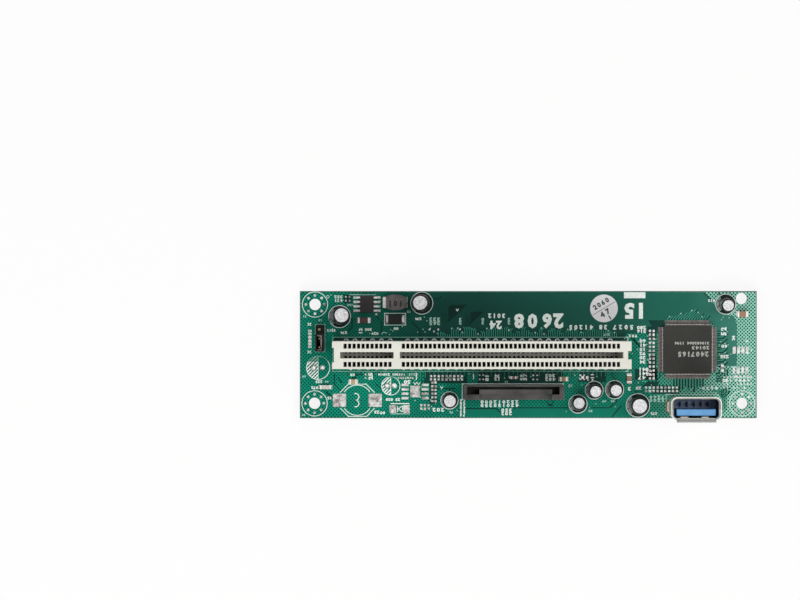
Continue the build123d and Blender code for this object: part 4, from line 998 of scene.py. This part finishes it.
brown = Plates("port_leg_rings", leg_ring, 0.006, BOARD_TOP + 0.05)
for leg_x in (PORT_X - 6.5, PORT_X + 6.5):
    for side, start in ((1, 0), (-1, 180)):
        brown.arc(leg_x, PORT_Y + side * 0.85, 0.78, start, start + 180, 0.44)
        brown.rectangle(leg_x + side * 0.78, PORT_Y, 0.44, 1.75)
brown.done()

# painted shade at the slot: dark frames round its windows, dark plates over the holes in the floor
# of its card gap, and a dark sheet under it

KEY_PLACES = (11, 12)  # the key takes the room of these contacts
WINDOW_ROW, WINDOW_LENGTH, WINDOW_WIDTH, SHADE_FRAME_WIDTH = 2.59, 1.22, 0.73, 0.1
GAP_FLOOR = SLOT_TOP - CARD_GAP_DEPTH
side_x = (WINDOW_WIDTH + SHADE_FRAME_WIDTH) / 2
end_y = (WINDOW_LENGTH + SHADE_FRAME_WIDTH) / 2
shade_frames = Plates("slot_window_shade_frames", window_shade_colour, 0.023, SLOT_TOP - 0.02, "ivory_plastic")
opening_shades = Plates("slot_floor_painted_shades", floor_opening_shade, 0.04, GAP_FLOOR - 0.02, "ivory_plastic")
for i, x in enumerate(row_x):
    if i in KEY_PLACES:
        continue
    for row in (-1, 1):
        y = SLOT_Y + row * WINDOW_ROW
        for side in (-1, 1):
            shade_frames.rectangle(x + side * side_x, y, SHADE_FRAME_WIDTH, WINDOW_LENGTH + 2 * SHADE_FRAME_WIDTH)
            shade_frames.rectangle(x, y + side * end_y, WINDOW_WIDTH, SHADE_FRAME_WIDTH)
        # dark plates of painted shade over the holes in the card gap's floor
        opening_shades.rectangle(x, SLOT_Y + row * 0.56, 0.6, 0.42)
shade_frames.done()
opening_shades.done()
# a dark sheet of painted shade on the board under the slot
bed = Plates("painted_shade_under_slot", slot_shade, 0.004)
bed.rectangle(-13.88, SLOT_Y, 79.6, 7.2)
bed.done()

# white print and plain numbers

prints = Plates("print_marks", white_print, 0.034, slot="white_print")
faint = Plates("print_marks_thin", dim_print, 0.032, slot="white_print")
# the coil's footprint, a cut ring with corners and a mark; the diode's with its symbol
PRINT_ARCS = (
    (357.2, 400.2, 4.38, 33, 147, 0.2), (357.2, 400.2, 4.38, -147, -33, 0.2),
    (355.6, 396.8, 0.95, -100, 110, 0.26), (355.6, 403.5, 0.95, -110, 100, 0.26),
)
for x, y, radius, start, end, width in PRINT_ARCS:
    prints.arc(*spot(x, y), radius, start, end, width)
PRINT_LINES = (
    (0.2, (340, 392.6), (349, 383.4)), (0.2, (365.3, 383.4), (374.7, 392.6)),
    (0.2, (340.2, 408), (349, 416.8)), (0.2, (374.7, 408), (366.3, 416.8)),
    (0.28, (390.5, 403.6), (409.3, 403.6)), (0.24, (397.6, 406), (397.6, 412)),
    (0.22, (402, 406), (398.4, 409), (402, 412)), (0.2, (402.4, 406), (402.4, 412)),
)
for width, *pixels in PRINT_LINES:
    prints.line(spots(*pixels), width)
FAINT_LINES = (
    (0.24, (390.5, 413.9), (409.7, 413.9)), (0.2, (349, 294.7), (376, 294.7)),
    (0.2, (666.2, 402), (666.2, 394.4), (717.5, 394.4), (719.5, 396.4)),
    (0.22, (382, 333), (384, 332.3), (387, 333.2)),
)
for width, *pixels in FAINT_LINES:
    faint.line(spots(*pixels), width)
faint.arc(*spot(327.8, 296.8), 0.36, 0, 360, 0.26)
# arrows, dashes, crosses, bars and dots
for x in (415.2, 418.6):
    prints.line(spots((x - 1.6, 382.2), (x, 384.6), (x + 1.6, 382.2)), 0.18)
for x, y in ((457.4, 309.8), (441.7, 387.5)):
    prints.line(spots((x - 1.2, y - 1), (x, y + 1.2), (x + 1.2, y - 1)), 0.2)
for y in (330.9, 333.8, 337.2, 341, 343.8, 346.8):
    prints.rectangle(*spot(309.9, y), 0.95, 0.66)
for x, y in ((309.4, 324.3), (309.4, 352)):
    for rise in (-1.4, 1.4):
        prints.line(spots((x - 1.8, y + rise), (x + 1.8, y - rise)), 0.24)
prints.rectangle(*spot(634.7, 295.2), 6.2, 1.75)
for i in range(4):
    prints.rectangle(*spot(735 + i * 4.3, 349.9), 0.44, 1.9)
for i in range(6):
    faint.rectangle(*spot(733.6 + i * 2.95, 370), 0.36, 2.1)
prints.disc(*spot(751.6, 350), 0.24, 10)
prints.rectangle(*spot(473.5, 376.5), 0.3, 1.6)
prints.done()
faint.done()

bright = Digits(BOARD_TOP + 0.036)
soft = Digits(BOARD_TOP + 0.036)


def lines_of(digits, rows, x, y, size, pitch_x, pitch_y=3):
    """Rows parted by strokes, centred at a pixel of the photograph; pitches in its pixels."""
    rows = rows.split("/")
    for i, text in enumerate(rows):
        row_y = y + (i - (len(rows) - 1) / 2) * pitch_y
        digits.write(text, *spot(x, row_y), size, 180, pitch_x * PIXEL)


LABELS = (
    ("105", 350, 305, 0.6), ("31", 304.6, 316.3, 0.62), ("18", 320.5, 320.3, 0.62),
    ("12", 409, 311.8, 0.62), ("274", 418.3, 318.8, 0.66), ("3312", 331.3, 330.5, 0.66),
    ("274", 343.8, 332.6, 0.7), ("505", 368.3, 329.5, 0.7), ("00", 396, 328.6, 0.74),
    ("029", 375, 333.5, 0.7), ("60", 304, 376.5, 0.6), ("223", 319, 381.8, 0.7),
    ("44", 326.5, 381.8, 0.55), ("072", 314.8, 387.8, 0.7), ("15", 329.6, 398, 0.7),
    ("00", 303.5, 415, 0.55), ("03", 352.5, 374.8, 0.7), ("23", 376.8, 412.2, 0.8),
    ("60", 382.6, 413, 0.75), ("23 820", 393, 399.6, 0.72), ("72", 451.5, 412.2, 0.6),
    ("217", 607, 334.5, 0.6), ("12", 570.7, 385.7, 0.62), ("60", 604.2, 401.4, 0.6),
    ("44", 612.7, 401.2, 0.6), ("50", 590.5, 411, 0.62), ("272", 654, 413.6, 0.66),
    ("3", 629.4, 388.8, 1.0), ("20", 638.6, 388.2, 0.85), ("18", 506.5, 381.8, 0.5),
    ("812", 711.6, 300.6, 0.7), ("50", 407.2, 382, 1.0), ("60", 724.3, 346.3, 0.86),
    ("235", 724.6, 356.6, 0.86), ("28", 725.4, 380.5, 0.86),
)
for text, x, y, size in LABELS:
    (soft if size < 0.64 else bright).write(text, *spot(x, y), size, 180)
UPRIGHT_LABELS = (
    ("12", 360.6, 331.2, 0.9), ("25", 370.6, 376.3, 1.1), ("81", 487, 377.8, 1.0),
    ("37", 525.2, 377.6, 1.0), ("52", 723.8, 331.5, 1.6), ("11", 592.4, 376.2, 0.9),
    ("24", 733.5, 338, 0.8), ("6", 747, 341, 0.8),
)
for text, x, y, size in UPRIGHT_LABELS:
    bright.write(text, *spot(x, y), size, 90)
NUMBER_BLOCKS = (
    (bright, (
        ("352/471", 338.5, 298.7, 0.78, 2.9, 3.6), ("6060", 325.6, 387.5, 1.0, 2.9),
        ("414", 381, 374.5, 0.62, 2.1), ("341 218", 391, 374.5, 0.66, 2.1),
        ("3012", 496.7, 315.8, 1.35, 4.6), ("24", 495.5, 325, 2.5, 7.2),
        ("08", 525.8, 321, 4.3, 13.4), ("26", 552.8, 321, 4.4, 11.8),
        ("41205", 581, 327.3, 1.35, 5.1), ("38", 603.2, 327.2, 1.4, 4.8),
        ("5027", 623.4, 327.2, 1.4, 5.5), ("15", 635.2, 310.8, 4.6, 11.5),
        ("280/516", 641.5, 329.4, 0.9, 3.1, 3.5), ("902", 633, 336, 0.75, 3.1),
        ("841/441/ 47", 643.6, 373.6, 0.95, 3.4, 4.1),
        ("60/41/15/92/20/34", 642.6, 351.5, 0.9, 3.1, 4.2), ("4/2/1", 416.5, 376.4, 0.6, 3, 2.3),
        ("74/12", 497.3, 377.5, 0.85, 3.1, 3.3), ("303/402", 550.2, 377.5, 0.9, 3.5, 3.7),
        ("30/20", 522.4, 377.5, 0.7, 2.4, 3.3), ("202", 438.4, 409.8, 1.0, 4.2),
        ("16/28/35/40/51/62/73", 462.6, 407.8, 0.62, 3.3, 2.45),
        ("252012008/420150250", 499.5, 403.7, 0.88, 4.35, 3.5),
        ("350/202", 506.6, 411.9, 0.88, 3.8, 3.5), ("8120", 710, 388.3, 0.8, 4.4),
    )),
    (soft, (
        ("215", 412, 374.4, 0.66, 2.4), ("333/265", 434.7, 321.3, 1.0, 3.9, 3.9),
        ("3/2", 460.3, 321.2, 0.85, 3, 3.5), ("0/3", 482.8, 321.2, 0.85, 3, 3.5),
        ("3/2", 509, 321.2, 0.85, 3, 3.5), ("7260/5200", 657, 398.8, 0.85, 4.0, 3.3),
    )),
)
for digits, rows in NUMBER_BLOCKS:
    for row in rows:
        lines_of(digits, *row)
bright.done("numbers", white_print, "white_print")
soft.done("numbers_thin", dim_print, "white_print")

# sticker, chip and coil numbers

STICKER_X, STICKER_Y, TILT = 21.83, 13.35, 31
INK = 0.004
mark = Plates("sticker_line", black_print, INK, STICKER_TOP, "sticker_paper")
reach_x = 3.8 * math.cos(math.radians(TILT))
reach_y = 3.8 * math.sin(math.radians(TILT))
mark.line(
    [(STICKER_X - reach_x, STICKER_Y - reach_y), (STICKER_X + reach_x, STICKER_Y + reach_y)], 0.13
)
mark.done()
inked = Digits(STICKER_TOP + INK)
STICKER_NUMBERS = (
    ("2060", -0.85, 1.35, 1.5, 1.35), ("47", 0.3, -1.35, 1.7, 1.5), ("1", 1.7, -2.6, 1.3, 1.0)
)
for text, x, y, size, pitch in STICKER_NUMBERS:
    inked.write(text, STICKER_X + x, STICKER_Y + y, size, TILT, pitch)
inked.done("sticker_numbers", black_print, "sticker_paper")

etched = Digits(CHIP_TOP + INK)
CHIP_NUMBERS = (
    ("1104", 679.5, 343.2, 0.72, 0.72), ("310402064", 698.2, 343.2, 0.72, 0.72),
    ("20143", 700.6, 347.8, 0.9, 1.05), ("2407165", 693.3, 354.2, 1.5, 1.3),
)
for text, x, y, size, pitch in CHIP_NUMBERS:
    etched.write(text, *spot(x, y, 1.5), size, 180, pitch)
etched.done("chip_numbers", chip_print, "white_print")

coil_mark = Digits(COIL_TOP + INK)
coil_mark.write("101", *spot(395.4, 303.6, 3.5), 1.7, 180, 1.5)
coil_mark.done("coil_numbers", ferrite_print, "white_print")

# chip parts, each in its own colour


def rounded_blocks(name, blocks):
    """Blocks in one mesh: middle, low, high, length, width, radius of the edges, material."""
    bm = bmesh.new()
    finishes = []
    for x, y, low, high, length, width, edge, finish_of in blocks:
        made = bmesh.ops.create_cube(bm, size=1.0)["verts"]
        for vertex in made:
            vertex.co.x = x + vertex.co.x * length
            vertex.co.y = y + vertex.co.y * width
            vertex.co.z = (low + high) / 2 + vertex.co.z * (high - low)
        faces = {face for vertex in made for face in vertex.link_faces}
        edges = list({e for face in faces for e in face.edges})
        index = len(finishes)
        finishes.append(finish_of)
        for face in faces:
            face.material_index = index
        bmesh.ops.bevel(
            bm, geom=edges, offset=edge, segments=2, affect="EDGES", profile=0.5, material=index
        )
    mesh = bpy.data.meshes.new(name)
    bm.to_mesh(mesh)
    bm.free()
    chosen = [face.material_index for face in mesh.polygons]
    made = piece(name, mesh, finishes[0])
    for finish_of in finishes[1:]:
        made.data.materials.append(finish_of)
    for face, index in zip(mesh.polygons, chosen):
        face.material_index = index
    return made


CHIPS = (
    (-47.49, 9.91, 3.2, 1.6, 1.2, True, "red_brown", (62, 40, 40), (86, 54, 52)),
    (-50.57, -7.75, 2.0, 1.25, 0.9, True, "tan", (158, 138, 104), (186, 164, 126)),
    (10.15, -7.03, 2.0, 1.25, 0.9, True, "olive_tan", (134, 108, 66), (160, 134, 88)),
    (61.75, 11.67, 2.8, 1.65, 1.2, True, "light_brown", (142, 106, 80), (170, 132, 102)),
    (-4.26, -6.63, 1.6, 0.8, 0.6, True, "pink_brown", (138, 100, 98), (170, 132, 128)),
    (29.11, -6.88, 1.4, 2.3, 1.0, False, "rose_brown", (128, 92, 76), (154, 118, 98)),
    (-58.54, -9.37, 3.2, 1.15, 0.8, True, "grey_white", (168, 172, 166), (208, 208, 202)),
    (56.0, -3.85, 0.8, 1.6, 0.6, False, "grey_pink", (134, 120, 116), (160, 146, 140)),
    (16.35, -6.6, 1.4, 0.8, 0.5, True, "dark_grey", (46, 42, 44), (62, 58, 60)),
)
blocks = []
for x, y, length, width, height, along, name, low, high in CHIPS:
    reach = (length - 0.74, width - 0.04) if along else (length - 0.04, width - 0.74)
    finish_of = grainy_material(f"chip_{name}", (2400, 5, 0.7), low, high, 0.42, 0.45, (0.25, 0.03))
    blocks.append((x, y, BOARD_TOP + 0.06, BOARD_TOP + 0.03 + height, *reach, 0.05, finish_of))
chips = rounded_blocks("chip_bodies_rounded", blocks)
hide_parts("chip_bodies")

# floor

floor_shader = Shader("floor_white")
floor_shader.set(colour=(238, 238, 236), roughness=0.8)
path = floor_shader.node("LightPath")
seen = path.outputs["Is Camera Ray"]
for ray in ("Is Glossy Ray", "Is Transmission Ray"):
    seen = floor_shader.math("MAXIMUM", seen, path.outputs[ray])
white = floor_shader.node("Emission")
white.inputs["Strength"].default_value = 1.0
blend = floor_shader.node("MixShader")
floor_shader.join(floor_shader.times(seen, 0.86), blend.inputs[0])
floor_shader.join(floor_shader.surface.outputs["BSDF"], blend.inputs[1])
floor_shader.join(white.outputs[0], blend.inputs[2])
floor_shader.join(blend.outputs[0], floor_shader.output.inputs["Surface"])
bpy.ops.mesh.primitive_plane_add(size=6.0, location=(0, 0, 0))
floor = bpy.context.object
floor.name = "floor"
floor.data.materials.append(floor_shader.material)

world = bpy.data.worlds.new("studio")
scene.world = world
world.use_nodes = True
sky = world.node_tree
background = sky.nodes["Background"]
direction = sky.nodes.new("ShaderNodeTexCoord")
split = sky.nodes.new("ShaderNodeSeparateXYZ")
ramp = sky.nodes.new("ShaderNodeValToRGB")
sky.links.new(direction.outputs["Generated"], split.inputs[0])
sky.links.new(split.outputs[2], ramp.inputs[0])
sky.links.new(ramp.outputs[0], background.inputs["Color"])
levels = ((0.0, 0.50), (0.35, 0.62), (0.80, 0.62), (0.95, 0.30), (1.0, 0.22))
for position, level in levels[1:-1]:
    ramp.color_ramp.elements.new(position)
for element, (position, level) in zip(ramp.color_ramp.elements, levels):
    element.color = (level, level, level, 1)
background.inputs["Strength"].default_value = 0.78
